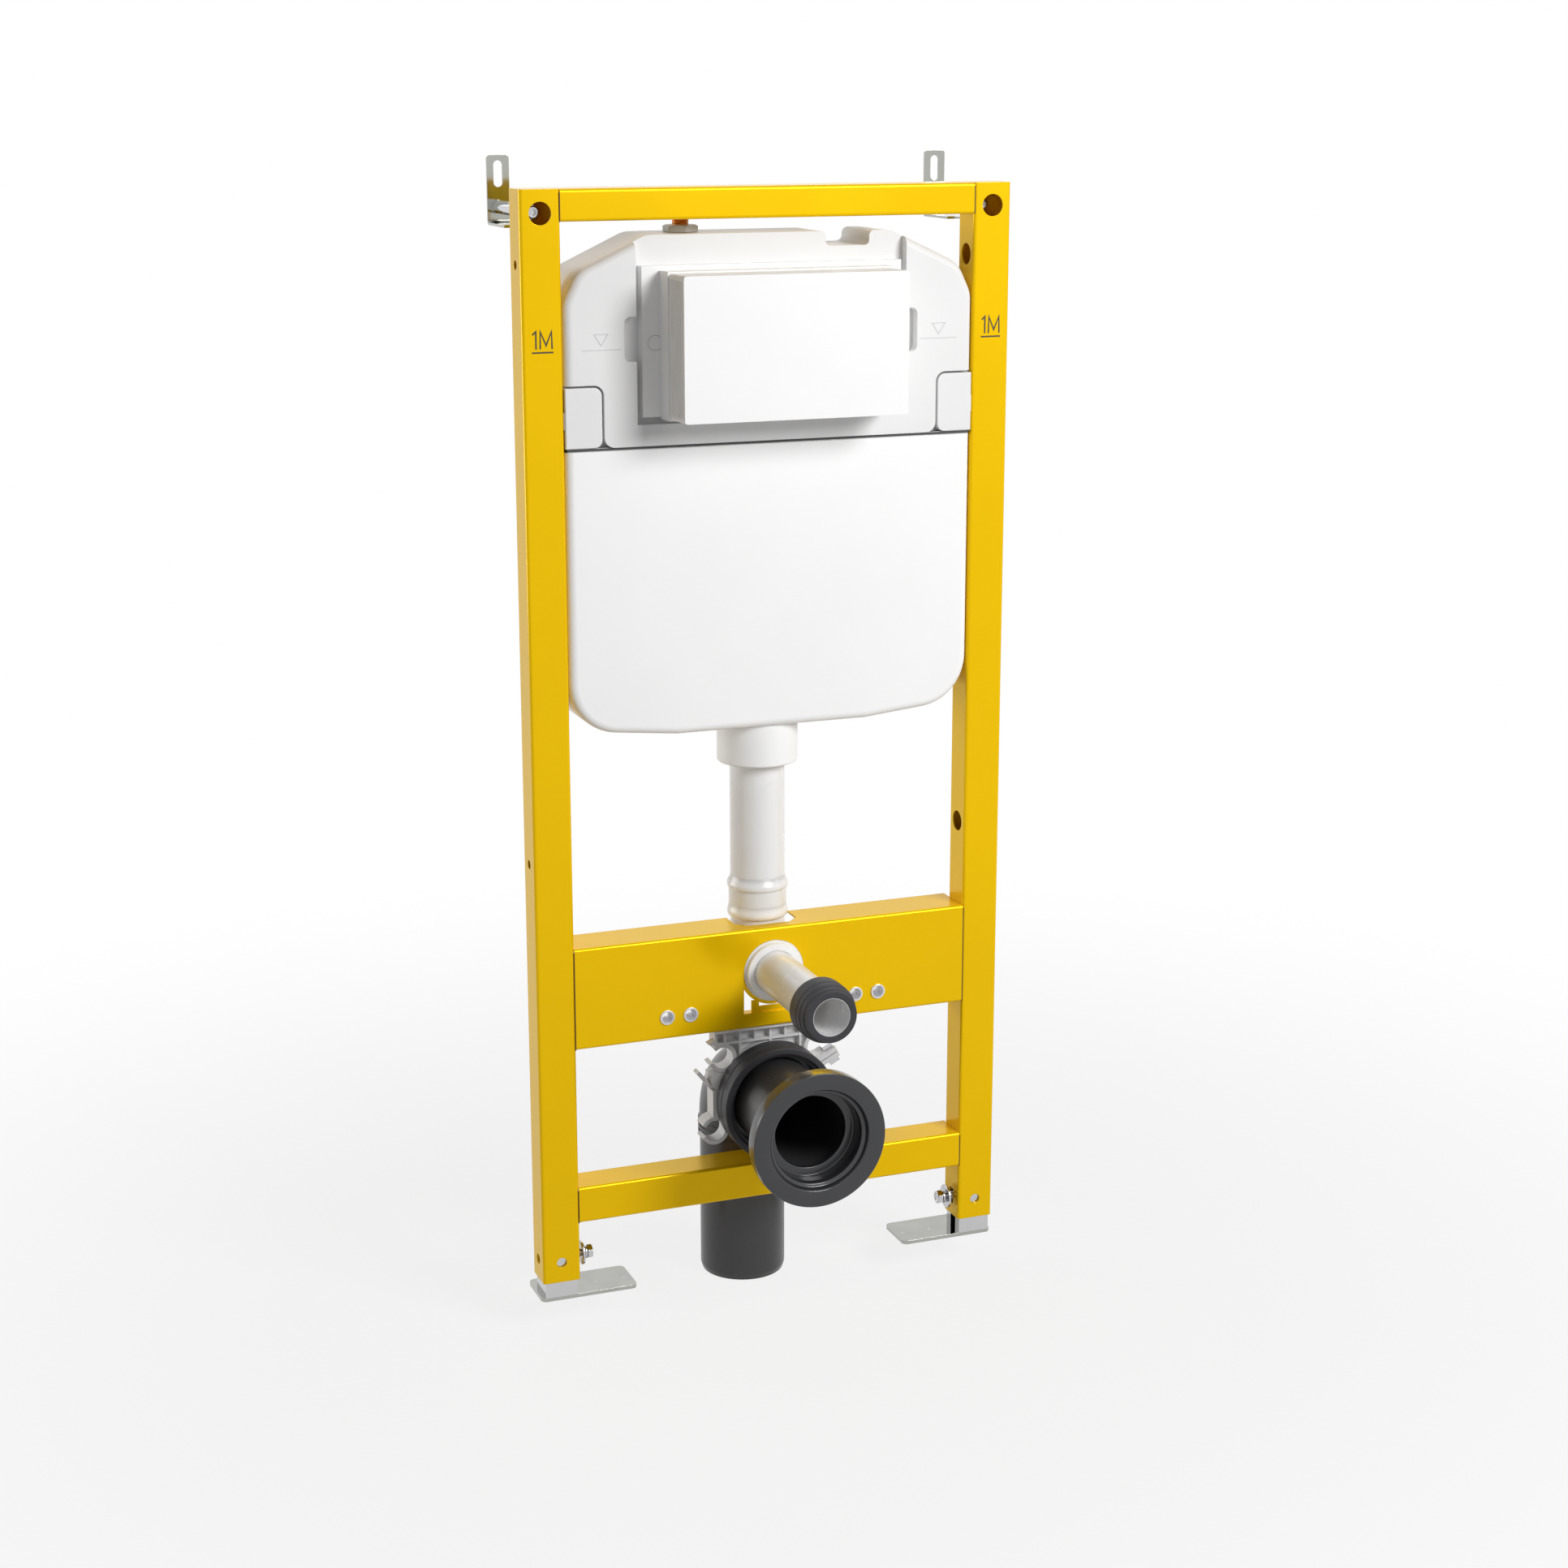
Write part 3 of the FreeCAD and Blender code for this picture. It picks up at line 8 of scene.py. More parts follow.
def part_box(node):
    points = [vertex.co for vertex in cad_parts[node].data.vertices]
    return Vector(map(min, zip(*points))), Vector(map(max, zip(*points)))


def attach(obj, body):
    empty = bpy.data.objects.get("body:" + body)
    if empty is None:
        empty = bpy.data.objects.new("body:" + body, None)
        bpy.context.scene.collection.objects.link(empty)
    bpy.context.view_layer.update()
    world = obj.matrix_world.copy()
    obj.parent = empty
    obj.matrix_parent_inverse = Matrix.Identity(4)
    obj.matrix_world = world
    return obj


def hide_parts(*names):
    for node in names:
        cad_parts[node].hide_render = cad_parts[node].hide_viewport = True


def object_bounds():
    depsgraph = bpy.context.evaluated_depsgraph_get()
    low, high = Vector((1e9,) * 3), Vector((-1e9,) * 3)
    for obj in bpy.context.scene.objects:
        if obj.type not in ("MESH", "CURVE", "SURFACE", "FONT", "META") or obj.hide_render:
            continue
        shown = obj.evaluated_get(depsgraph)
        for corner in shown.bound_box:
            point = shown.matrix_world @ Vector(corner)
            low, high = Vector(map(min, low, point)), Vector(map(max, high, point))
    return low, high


# The whole installation frame: a yellow steel frame on two feet, a slim concealed cistern,
# and the pipes that lead flush water and waste through its middle rail.
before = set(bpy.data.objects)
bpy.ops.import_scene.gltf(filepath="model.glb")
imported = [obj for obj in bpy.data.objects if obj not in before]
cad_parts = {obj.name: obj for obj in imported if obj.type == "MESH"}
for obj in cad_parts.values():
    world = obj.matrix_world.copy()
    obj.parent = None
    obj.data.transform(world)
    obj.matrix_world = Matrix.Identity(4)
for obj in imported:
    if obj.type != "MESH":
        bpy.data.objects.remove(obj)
cad_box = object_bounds()
MM = 0.001
middle_x = (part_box("upright_left")[0].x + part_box("upright_right")[1].x) / 2
front_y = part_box("upright_left")[0].y
floor_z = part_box("foot_plate_left")[0].z


def spot(across, depth, height):
    """A point in metres from millimetres right of the middle, behind the front, over the floor."""
    return Vector((middle_x + across * MM, front_y + depth * MM, floor_z + height * MM))


# Steel frame: roll-formed uprights and folded rails, welded and then powder-coated in one go.
# The coat is a satin lemon yellow with a faint orange peel that thins a little at the edges.
def colour(red, green, blue):
    """A colour written as it shows on a screen, 0 to 255, as linear values."""
    values = [part / 255 for part in (red, green, blue)]
    linear = [v / 12.92 if v <= 0.04045 else ((v + 0.055) / 1.055) ** 2.4 for v in values]
    return (*linear, 1.0)


def add(tree, kind, **settings):
    """Adds a node, sets its properties and unlinked sockets, and links sockets given as sockets."""
    node = tree.nodes.new(kind)
    for name, value in settings.items():
        if hasattr(node, name):
            setattr(node, name, value)
    for name, value in settings.items():
        if hasattr(node, name):
            continue
        socket = node.inputs[name.replace("_", " ")]
        if isinstance(value, bpy.types.NodeSocket):
            tree.links.new(value, socket)
        else:
            socket.default_value = value
    return node


def group(name, inputs, outputs):
    """An empty shader group with named sockets, and its two end nodes."""
    tree = bpy.data.node_groups.new(name, "ShaderNodeTree")
    for label, kind, value in inputs:
        socket = tree.interface.new_socket(label, in_out="INPUT", socket_type=kind)
        socket.default_value = value
    for label, kind in outputs:
        tree.interface.new_socket(label, in_out="OUTPUT", socket_type=kind)
    return tree, tree.nodes.new("NodeGroupInput"), tree.nodes.new("NodeGroupOutput")


def mix_colours(tree, factor, first, second):
    """A mix of two colours; each of the three inputs is a socket or a plain value."""
    node = tree.nodes.new("ShaderNodeMix")
    node.data_type = "RGBA"
    for socket, value in ((node.inputs[0], factor), (node.inputs[6], first),
                          (node.inputs[7], second)):
        if isinstance(value, bpy.types.NodeSocket):
            tree.links.new(value, socket)
        else:
            socket.default_value = value
    return node.outputs[2]


def make_skin():
    """Grain, cloudiness and rounded, worn edges, all sized in metres on the real surface."""
    tree, given, result = group("skin", [
        ("Colour", "NodeSocketColor", (0.8, 0.8, 0.8, 1)),
        ("Edge colour", "NodeSocketColor", (1, 1, 1, 1)),
        ("Edge wear", "NodeSocketFloat", 0.2),
        ("Edge radius", "NodeSocketFloat", 0.0005),
        ("Cloudiness", "NodeSocketFloat", 0.03),
        ("Cloud size", "NodeSocketFloat", 0.12),
        ("Grain size", "NodeSocketFloat", 0.0012),
        ("Grain depth", "NodeSocketFloat", 0.00002),
        ("Roughness", "NodeSocketFloat", 0.4),
        ("Roughness spread", "NodeSocketFloat", 0.1),
    ], [("Colour", "NodeSocketColor"), ("Roughness", "NodeSocketFloat"),
        ("Normal", "NodeSocketVector")])
    where = add(tree, "ShaderNodeTexCoord").outputs["Object"]

    def noise(size, detail):
        """A share from 0 to 1 that wanders over the surface, in patches of a given size."""
        scale = add(tree, "ShaderNodeMath", operation="DIVIDE")
        scale.inputs[0].default_value = 1.0
        tree.links.new(size, scale.inputs[1])
        return add(tree, "ShaderNodeTexNoise", Vector=where, Scale=scale.outputs[0],
                   Detail=detail).outputs["Fac"]

    clouds = noise(given.outputs["Cloud size"], 3.0)
    grain = noise(given.outputs["Grain size"], 2.0)
    edge = add(tree, "ShaderNodeBevel", samples=4, Radius=given.outputs["Edge radius"])
    flat = add(tree, "ShaderNodeNewGeometry").outputs["Normal"]
    along = add(tree, "ShaderNodeVectorMath", operation="DOT_PRODUCT")
    tree.links.new(edge.outputs["Normal"], along.inputs[0])
    tree.links.new(flat, along.inputs[1])
    turned = add(tree, "ShaderNodeMapRange")
    tree.links.new(along.outputs["Value"], turned.inputs["Value"])
    turned.inputs["From Min"].default_value = 0.99
    turned.inputs["From Max"].default_value = 0.85
    worn = add(tree, "ShaderNodeMath", operation="MULTIPLY")
    tree.links.new(turned.outputs[0], worn.inputs[0])
    tree.links.new(clouds, worn.inputs[1])
    worn_share = add(tree, "ShaderNodeMath", operation="MULTIPLY", use_clamp=True)
    tree.links.new(worn.outputs[0], worn_share.inputs[0])
    tree.links.new(given.outputs["Edge wear"], worn_share.inputs[1])

    spread = add(tree, "ShaderNodeMapRange")
    tree.links.new(clouds, spread.inputs["Value"])
    spread.inputs["From Min"].default_value = 0.3
    spread.inputs["From Max"].default_value = 0.7
    darker = add(tree, "ShaderNodeMath", operation="SUBTRACT")
    darker.inputs[0].default_value = 1.0
    tree.links.new(given.outputs["Cloudiness"], darker.inputs[1])
    tree.links.new(darker.outputs[0], spread.inputs["To Min"])
    shaded = add(tree, "ShaderNodeVectorMath", operation="SCALE")
    tree.links.new(given.outputs["Colour"], shaded.inputs[0])
    tree.links.new(spread.outputs[0], shaded.inputs["Scale"])
    tree.links.new(mix_colours(tree, worn_share.outputs[0], shaded.outputs[0],
                               given.outputs["Edge colour"]), result.inputs["Colour"])

    centred = add(tree, "ShaderNodeMath", operation="SUBTRACT")
    tree.links.new(clouds, centred.inputs[0])
    centred.inputs[1].default_value = 0.5
    rough = add(tree, "ShaderNodeMath", operation="MULTIPLY_ADD", use_clamp=True)
    tree.links.new(centred.outputs[0], rough.inputs[0])
    tree.links.new(given.outputs["Roughness spread"], rough.inputs[1])
    tree.links.new(given.outputs["Roughness"], rough.inputs[2])
    tree.links.new(rough.outputs[0], result.inputs["Roughness"])
    bump = add(tree, "ShaderNodeBump", Height=grain, Distance=given.outputs["Grain depth"],
               Normal=edge.outputs["Normal"])
    tree.links.new(bump.outputs[0], result.inputs["Normal"])
    return tree


SKIN = make_skin()


def finish(name, base, worn, roughness, wear=0.2, edge=0.5, clouds=0.03, cloud_size=120,
           grain=1.2, depth=0.02, spread=0.1, **shader):
    """A material from the skin group; sizes in millimetres, shader sockets by name."""
    material = bpy.data.materials.new(name)
    material.use_nodes = True
    tree = material.node_tree
    surface = tree.nodes["Principled BSDF"]
    skin = tree.nodes.new("ShaderNodeGroup")
    skin.node_tree = SKIN
    for socket, value in (("Colour", base), ("Edge colour", worn), ("Edge wear", wear),
                          ("Edge radius", edge * MM), ("Cloudiness", clouds),
                          ("Cloud size", cloud_size * MM), ("Grain size", grain * MM),
                          ("Grain depth", depth * MM), ("Roughness", roughness),
                          ("Roughness spread", spread)):
        skin.inputs[socket].default_value = value
    tree.links.new(skin.outputs["Colour"], surface.inputs["Base Color"])
    tree.links.new(skin.outputs["Roughness"], surface.inputs["Roughness"])
    tree.links.new(skin.outputs["Normal"], surface.inputs["Normal"])
    for socket, value in shader.items():
        surface.inputs[socket.replace("_", " ")].default_value = value
    return material


def paint(material, *names):
    """Gives nodes of the frame a finish of their own."""
    for name in names:
        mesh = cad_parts[name].data
        mesh.materials.clear()
        mesh.materials.append(material)


yellow_coat = finish("yellow_coat", colour(244, 197, 0), colour(255, 228, 80), 0.22,
                     wear=0.35, edge=0.7, clouds=0.03, grain=0.9, depth=0.01,
                     Metallic=0.3, Specular_IOR_Level=0.1)
paint(yellow_coat, "upright_left", "upright_right", "upright_caps", "top_rail", "middle_rail",
      "bottom_rail", "elbow_cradle")


# Height marks: one metre over the finished floor, printed in dark ink on both uprights.
# Each stroke is a thin raised film of ink, as a pad print leaves it.
def shown(name, points, faces, material, body="frame", smooth=False):
    """A mesh piece in the row's own frame that rides on a body."""
    mesh = bpy.data.meshes.new(name)
    mesh.from_pydata([tuple(p) for p in points], [], faces)
    mesh.validate()
    mesh.materials.append(material)
    for face in mesh.polygons:
        face.use_smooth = smooth
    piece = bpy.data.objects.new(name, mesh)
    bpy.context.scene.collection.objects.link(piece)
    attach(piece, body)
    return piece


def stroke(points, faces, line, width, depth, film, closed=False):
    """Adds a mitred band along a line of (across, height) to a mesh, on the plane at depth."""
    count = len(line)
    rims = []
    for index, (across, height) in enumerate(line):
        before = line[index - 1] if index or closed else None
        after = line[(index + 1) % count] if index < count - 1 or closed else None
        here = Vector((across, height))
        ways = [(here - Vector(before)).normalized()] if before else []
        ways += [(Vector(after) - here).normalized()] if after else []
        mean = sum(ways, Vector((0, 0))).normalized()
        side = Vector((-mean.y, mean.x))
        reach = width / 2 / max(0.3, abs(side.dot(Vector((-ways[0].y, ways[0].x)))))
        rims.append((here + side * reach, here - side * reach))
    first = len(points)
    for left, right in rims:
        for at, level in ((left, depth), (right, depth), (right, depth - film),
                          (left, depth - film)):
            points.append(spot(at.x, level, at.y))
    links = count if closed else count - 1
    for index in range(links):
        a = first + 4 * index
        b = first + 4 * ((index + 1) % count)
        faces += [(a + k, a + (k + 1) % 4, b + (k + 1) % 4, b + k) for k in range(4)]
    if not closed:
        faces += [(first + 3, first + 2, first + 1, first),
                  tuple(first + 4 * (count - 1) + k for k in range(4))]


ink = finish("ink", colour(62, 52, 14), colour(96, 78, 20), 0.5, wear=0.1, edge=0.05,
             clouds=0.1, grain=0.5, depth=0.004)
SIDES = (("left", -1), ("right", 1))
UPRIGHT_MIDDLE = 230.5
MARK_FOOT = 961.7
FIGURE_ONE = [(-9.8, 13.4), (-6.4, 16.4), (-6.4, 0.0)]
LETTER_M = [(-2.4, 0.0), (-2.0, 16.0), (3.4, 3.4), (8.8, 16.0), (9.2, 0.0)]
UNDERLINE = [(-10.4, -3.2), (10.4, -3.2)]
INK_WIDTH = 1.6
INK_FILM = 0.12
for name, side in SIDES:
    points, faces = [], []
    for line in (FIGURE_ONE, LETTER_M, UNDERLINE):
        placed = [(side * UPRIGHT_MIDDLE + across, MARK_FOOT + rise) for across, rise in line]
        stroke(points, faces, placed, INK_WIDTH, 0.0, INK_FILM)
    shown(f"metre_mark_{name}", points, faces, ink)


# Joint shade lines: the rails' square ends butt against the uprights' rounded edges.
# The weld sits behind the face, so a fine gap stays open at the front;
# a thin dark film laid on each joint is painted shade for the shadow in that gap.
JOINT_ACROSS = 211.4
JOINT_WIDTH = 0.9
JOINT_FILM = 0.08
# Dark brownish yellow: painted shade of the joint gap, not a colour of the coat.
joint_painted_shade = finish("joint_gap", colour(74, 56, 4), colour(92, 72, 8), 0.6, wear=0.1, edge=0.05,
                  clouds=0.1, grain=0.5, depth=0.004)
RAIL_JOINTS = (("top", 1078.0, 1105.0), ("middle", 267.0, 369.0), ("bottom", 82.0, 117.0))
for rail, low, high in RAIL_JOINTS:
    for name, side in SIDES:
        points, faces = [], []
        across = side * JOINT_ACROSS
        stroke(points, faces, [(across, low), (across, high)], JOINT_WIDTH, 0.0, JOINT_FILM)
        shown(f"joint_shade_line_{rail}_{name}", points, faces, joint_painted_shade)


# Legs, feet and wall brackets: cut and folded strip, electroplated with bright zinc.
# The plating mirrors what stands round it; plates and brackets are clouded, faintly tinted and
# darker, while the legs' zinc is set lighter than theirs as painted light, so the legs' fronts show
# lit.
# Lighter zinc for legs, nuts and screws: its extra lightness over the plates' zinc is painted
# light.
zinc = finish("bright_zinc_painted_lit", colour(200, 200, 202), colour(228, 228, 228), 0.1, wear=0.5,
              edge=0.4, clouds=0.05, cloud_size=18, grain=0.5, depth=0.004, spread=0.1,
              Metallic=1.0)
plate_zinc = finish("plate_zinc", colour(174, 175, 169), colour(222, 222, 217), 0.1, wear=0.5,
                    edge=0.4, clouds=0.06, cloud_size=22, grain=0.5, depth=0.004, spread=0.1,
                    Metallic=1.0)
paint(zinc, "leg_left", "leg_right", "clamp_nut_left", "clamp_nut_right", "spindle_nuts")
paint(plate_zinc, "foot_plate_left", "foot_plate_right", "wall_bracket_left",
      "wall_bracket_right")


# Depth spindles: studs that hold the frame off the wall, with a socket in the front end
# for a key, and a smooth sleeve over the thread between the upright and the bracket.
STEPS = 96
AXES = {"X": Matrix(((0, 0, 1), (1, 0, 0), (0, 1, 0))),
        "Y": Matrix(((1, 0, 0), (0, 0, 1), (0, 1, 0))),
        "Z": Matrix.Identity(3)}


def wound(name, rows, centre, axis, material, body="frame", closed=True):
    """Joins rows of (along, radius) millimetre pairs, one pair for each step round an axis."""
    points, faces = [], []
    for row in rows:
        for step, (along, radius) in enumerate(row):
            angle = 2 * math.pi * step / STEPS
            local = Vector((radius * math.cos(angle), radius * math.sin(angle), along)) * MM
            points.append(centre + AXES[axis] @ local)
    for index in range(len(rows) if closed else len(rows) - 1):
        a, b = index * STEPS, (index + 1) % len(rows) * STEPS
        for step in range(STEPS):
            after = (step + 1) % STEPS
            faces.append((a + step, a + after, b + after, b + step))
    if not closed:
        last = (len(rows) - 1) * STEPS
        faces += [tuple(reversed(range(STEPS))), tuple(range(last, last + STEPS))]
    piece = shown(name, points, faces, material, body, smooth=True)
    work = bmesh.new()
    work.from_mesh(piece.data)
    bmesh.ops.recalc_face_normals(work, faces=work.faces)
    work.to_mesh(piece.data)
    work.free()
    piece.data.set_sharp_from_angle(angle=math.radians(32))
    return piece


def even(*pairs):
    """Rows that are the same all the way round."""
    return [[pair] * STEPS for pair in pairs]


def soften(outline, radius, closed=True, steps=4):
    """Rounds the corners of an outline of (along, radius) pairs."""
    result = []
    count = len(outline)
    for index, here in enumerate(outline):
        if not closed and index in (0, count - 1):
            result.append(here)
            continue
        before, here, after = (Vector(outline[(index + k) % count]) for k in (-1, 0, 1))
        reach = min(radius, (before - here).length * 0.45, (after - here).length * 0.45)
        start = here + (before - here).normalized() * reach
        end = here + (after - here).normalized() * reach
        for step in range(steps + 1):
            t = step / steps
            result.append(tuple((1 - t) ** 2 * start + 2 * t * (1 - t) * here + t * t * end))
    return result


def thread(low, high, radius, pitch, depth):
    """Rows of a screw thread; a negative depth cuts it into a bore instead of a shank."""
    rows = []
    count = max(8, round((high - low) / pitch * 6))
    for index in range(count + 1):
        along = low + (high - low) * index / count
        fade = min(1.0, (along - low) / pitch, (high - along) / pitch)
        row = []
        for step in range(STEPS):
            turn = (along / pitch - step / STEPS) % 1
            dip = abs(2 * turn - 1)
            row.append((along, radius - depth * (1 - fade * (1 - dip))))
        rows.append(row)
    return rows


def hexagon(flats, along):
    """A row with six flats."""
    row = []
    for step in range(STEPS):
        angle = 2 * math.pi * step / STEPS
        corner = flats / 2 / math.cos((angle + math.pi / 6) % (math.pi / 3) - math.pi / 6)
        row.append((along, corner))
    return row


TURNED_SHARE = 0.97
TURNED_SLOPE = 0.5


def hex_body(flats, low, high):
    """Rows of a hexagon whose corners are turned off at the far end."""
    away = 1 if high > low else -1
    face = flats / 2 * TURNED_SHARE
    rim = [(high - away * (corner - face) * TURNED_SLOPE, corner)
           for _, corner in hexagon(flats, high)]
    return [hexagon(flats, low), rim, *even((high, face))]


SPINDLE_HEIGHT = 1086.0
SPINDLE_FRONT = 22.5
SPINDLE_THREAD = {"radius": 6.0, "pitch": 1.75, "depth": 0.9}
THREAD_END = 36.5
KEY_FLATS = 6
KEY_DEPTH = 4.0
thread_rows = [hexagon(KEY_FLATS, SPINDLE_FRONT + KEY_DEPTH), hexagon(KEY_FLATS, SPINDLE_FRONT),
               *even((SPINDLE_FRONT, 5.0)),
               *thread(SPINDLE_FRONT + 0.8, THREAD_END, **SPINDLE_THREAD)]
sleeve_rows = even(*soften([(THREAD_END, 4.9), (THREAD_END, 6.5), (135.8, 6.5), (140.2, 3.2),
                            (140.2, 2.0)], 1.0, closed=False))
for name, side in SIDES:
    centre = spot(side * UPRIGHT_MIDDLE, 0, SPINDLE_HEIGHT)
    for part, rows in (("thread", thread_rows), ("sleeve", sleeve_rows)):
        piece = wound(f"spindle_{part}_{name}", rows, centre, "Y", zinc, closed=False)
        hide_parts(f"depth_spindle_{name}")


# Leg clamps: a hexagon screw pulls a nut plate inside the leg against its lips.
# A wide washer and a spring washer spread its load on the upright's slotted wall.
CLAMP_CENTRE = spot(0, 18.25, 42.0)
CLAMP_THREAD = {"radius": 4.0, "pitch": 1.25, "depth": 0.65}
SPANNER_FLATS = 13
COIL_RISE = 0.9


def mirrored(rows, side):
    """The same rows on the left or the right of the frame's middle."""
    return [[(side * along, radius) for along, radius in row] for row in rows]


screw_rows = [*even((221.6, 3.0)), *reversed(thread(199.2, 221.4, **CLAMP_THREAD)),
              *even((199.0, 4.0), (199.0, 6.1)), *hex_body(SPANNER_FLATS, 198.6, 193.5),
              *even((193.5, 4.6), (193.9, 4.2))]
washer_rows = even(*soften([(203.5, 4.3), (203.5, 12.5), (205.5, 12.5), (205.5, 4.3)], 0.35))
coil_rows = [[(along + COIL_RISE * step / STEPS, radius) for step in range(STEPS)]
             for along, radius in soften([(199.3, 4.4), (199.3, 6.9), (201.0, 6.9),
                                          (201.0, 4.4)], 0.3)]
for name, side in SIDES:
    bolt = wound(f"clamp_screw_{name}", mirrored(screw_rows, side), CLAMP_CENTRE, "X", zinc,
                 closed=False)
    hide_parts(f"clamp_bolt_{name}")
    washer = wound(f"wide_washer_{name}", mirrored(washer_rows, side), CLAMP_CENTRE, "X", zinc)
    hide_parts(f"clamp_washer_{name}")
    wound(f"spring_washer_{name}", mirrored(coil_rows, side), CLAMP_CENTRE, "X", zinc)


# Stud bushes: flanged threaded bushes pressed into the middle rail, two on each side,
# for the bowl's M12 studs at the narrow or the wide spacing, in pale satin nickel.
STUD_HEIGHT = 290.0
nickel = finish("satin_nickel", colour(224, 224, 228), colour(245, 245, 246), 0.34, wear=0.4,
                edge=0.3, clouds=0.04, cloud_size=6, grain=0.3, depth=0.003, Metallic=0.6)
STUDS_ACROSS = (90.0, 115.0)
BUSH_THREAD = {"radius": 5.1, "pitch": 1.75, "depth": -0.45}
bush_rim = soften([(18.0, 5.7), (18.0, 7.0), (0.0, 7.0), (0.0, 7.75), (-1.5, 7.75),
                   (-1.5, 5.9)], 0.5, closed=False)
bush_rows = [*even(*bush_rim), *thread(-0.7, 18.0, **BUSH_THREAD)]
for name, side in SIDES:
    for number, across in enumerate(STUDS_ACROSS, start=1):
        bush = wound(f"stud_bush_{name}_{number}", bush_rows,
                     spot(side * across, 0, STUD_HEIGHT), "Y", nickel)
        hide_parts(f"stud_bushes_{name}")


# Cistern: tank and hood are blow-moulded white polyethylene with a fine satin skin.
# The clips are moulded apart and snap over the joint at both ends.
white_plastic = finish("white_polyethylene", colour(254, 254, 254), colour(255, 255, 255), 0.42,
                       wear=0.1, edge=0.8, clouds=0.02, cloud_size=90, grain=0.7, depth=0.012,
                       Specular_IOR_Level=0.45, Coat_Weight=0.08, Coat_Roughness=0.3)
hood_plastic = finish("hood_polyethylene", colour(236, 236, 236), colour(245, 245, 245), 0.45,
                      wear=0.1, edge=0.8, clouds=0.025, cloud_size=70, grain=0.6, depth=0.014,
                      Specular_IOR_Level=0.3)
paint(white_plastic, "cistern_tank", "outlet_collar")
paint(hood_plastic, "cistern_hood", "cistern_clip_left", "cistern_clip_right")


# Groove shade: a flat dark strip that lies in the groove between tank and hood, painted shade
# for the shadowed joint between the two shells, seen from outside as a thin line.
SHADE_INSET = 2.5
SHADE_LOW = 2.4
SHADE_TOP = 0.2
SHADE_PROUD = 0.9
# Dark grey: painted shade of the joint groove between the two shells.
groove_painted_shade = finish("groove_shade_paint", colour(70, 70, 72), colour(96, 96, 98), 0.7, wear=0.2,
                     edge=0.2, grain=0.6, depth=0.03)
hood_low, hood_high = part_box("cistern_hood")
points, faces = [], []
for drop in (SHADE_LOW, SHADE_TOP):
    for inset in (SHADE_INSET - SHADE_PROUD, SHADE_INSET):
        gap = inset * MM
        points += [Vector((x, y, hood_low.z - drop * MM))
                   for x, y in ((hood_low.x + gap, hood_low.y + gap),
                                (hood_high.x - gap, hood_low.y + gap),
                                (hood_high.x - gap, hood_high.y - gap),
                                (hood_low.x + gap, hood_high.y - gap))]
LOW_OUTER, LOW_INNER, TOP_OUTER, TOP_INNER = (0, 4, 8, 12)
for corner in range(4):
    after = (corner + 1) % 4
    for loop, beside in ((LOW_OUTER, TOP_OUTER), (TOP_OUTER, TOP_INNER),
                         (TOP_INNER, LOW_INNER), (LOW_INNER, LOW_OUTER)):
        faces.append((loop + corner, loop + after, beside + after, beside + corner))
shown("groove_shade_strip", points, faces, groove_painted_shade)


# Level marks: a fine moulded line and an upside-down triangle on each shoulder of the hood.
# They stand on the same height as the metre mark and show where the frame is level.
SHOULDER_FRONT = -1.0
LEVEL_LINE = 959.0
LEVEL_OUTER = 193.0
LEVEL_INNER = 154.0
TRIANGLE_ACROSS = 173.6
TRIANGLE_HALF = 6.8
TRIANGLE_TIP = 963.0
TRIANGLE_TOP = 973.6
LEVEL_WIDTH = 0.7
LEVEL_FILM = 0.25
# Grey film: painted shade for the edges of the moulded lines and rings, which are moulded in the
# same white plastic as round them.
moulded_line_shade = finish("moulded_line_painted_shade", colour(205, 205, 206), colour(235, 235, 235), 0.5,
                      edge=0.05, grain=0.5, depth=0.004)
for name, side in SIDES:
    points, faces = [], []
    line = [(side * LEVEL_OUTER, LEVEL_LINE), (side * LEVEL_INNER, LEVEL_LINE)]
    stroke(points, faces, line, LEVEL_WIDTH, SHOULDER_FRONT, LEVEL_FILM)
    tip = side * TRIANGLE_ACROSS
    triangle = [(tip - TRIANGLE_HALF, TRIANGLE_TOP), (tip + TRIANGLE_HALF, TRIANGLE_TOP),
                (tip, TRIANGLE_TIP)]
    stroke(points, faces, triangle, LEVEL_WIDTH, SHOULDER_FRONT, LEVEL_FILM, closed=True)
    shown(f"level_mark_{name}", points, faces, moulded_line_shade)


# Access opening: the plate fills the hood's channel and the closed box keeps plaster out.
# Both are injection-moulded, whiter than the cistern and finely ribbed on the box's sides.
access_plastic = finish("access_styrene", colour(252, 252, 252), colour(255, 255, 255), 0.38,
                        wear=0.1, edge=0.6, clouds=0.015, cloud_size=60, grain=0.4,
                        depth=0.006, Specular_IOR_Level=0.5)
paint(access_plastic, "access_plate", "access_box")
PLATE_FRONT = -0.5
EJECTOR_ACROSS = -120.0
EJECTOR_HEIGHT = 964.0
EJECTOR_RADIUS = 7.2
EJECTOR_STEPS = 40
RING_WIDTH = 0.6
RING_FILM = 0.25
# The ejector ring is a fine recessed ring in the plate; the grey raised film stands for it as
# painted shade.
points, faces = [], []
turns = [2 * math.pi * step / EJECTOR_STEPS for step in range(EJECTOR_STEPS)]
circle = [(EJECTOR_ACROSS + EJECTOR_RADIUS * math.cos(turn),
           EJECTOR_HEIGHT + EJECTOR_RADIUS * math.sin(turn)) for turn in turns]
stroke(points, faces, circle, RING_WIDTH, PLATE_FRONT, RING_FILM, closed=True)
shown("ejector_ring", points, faces, moulded_line_shade)


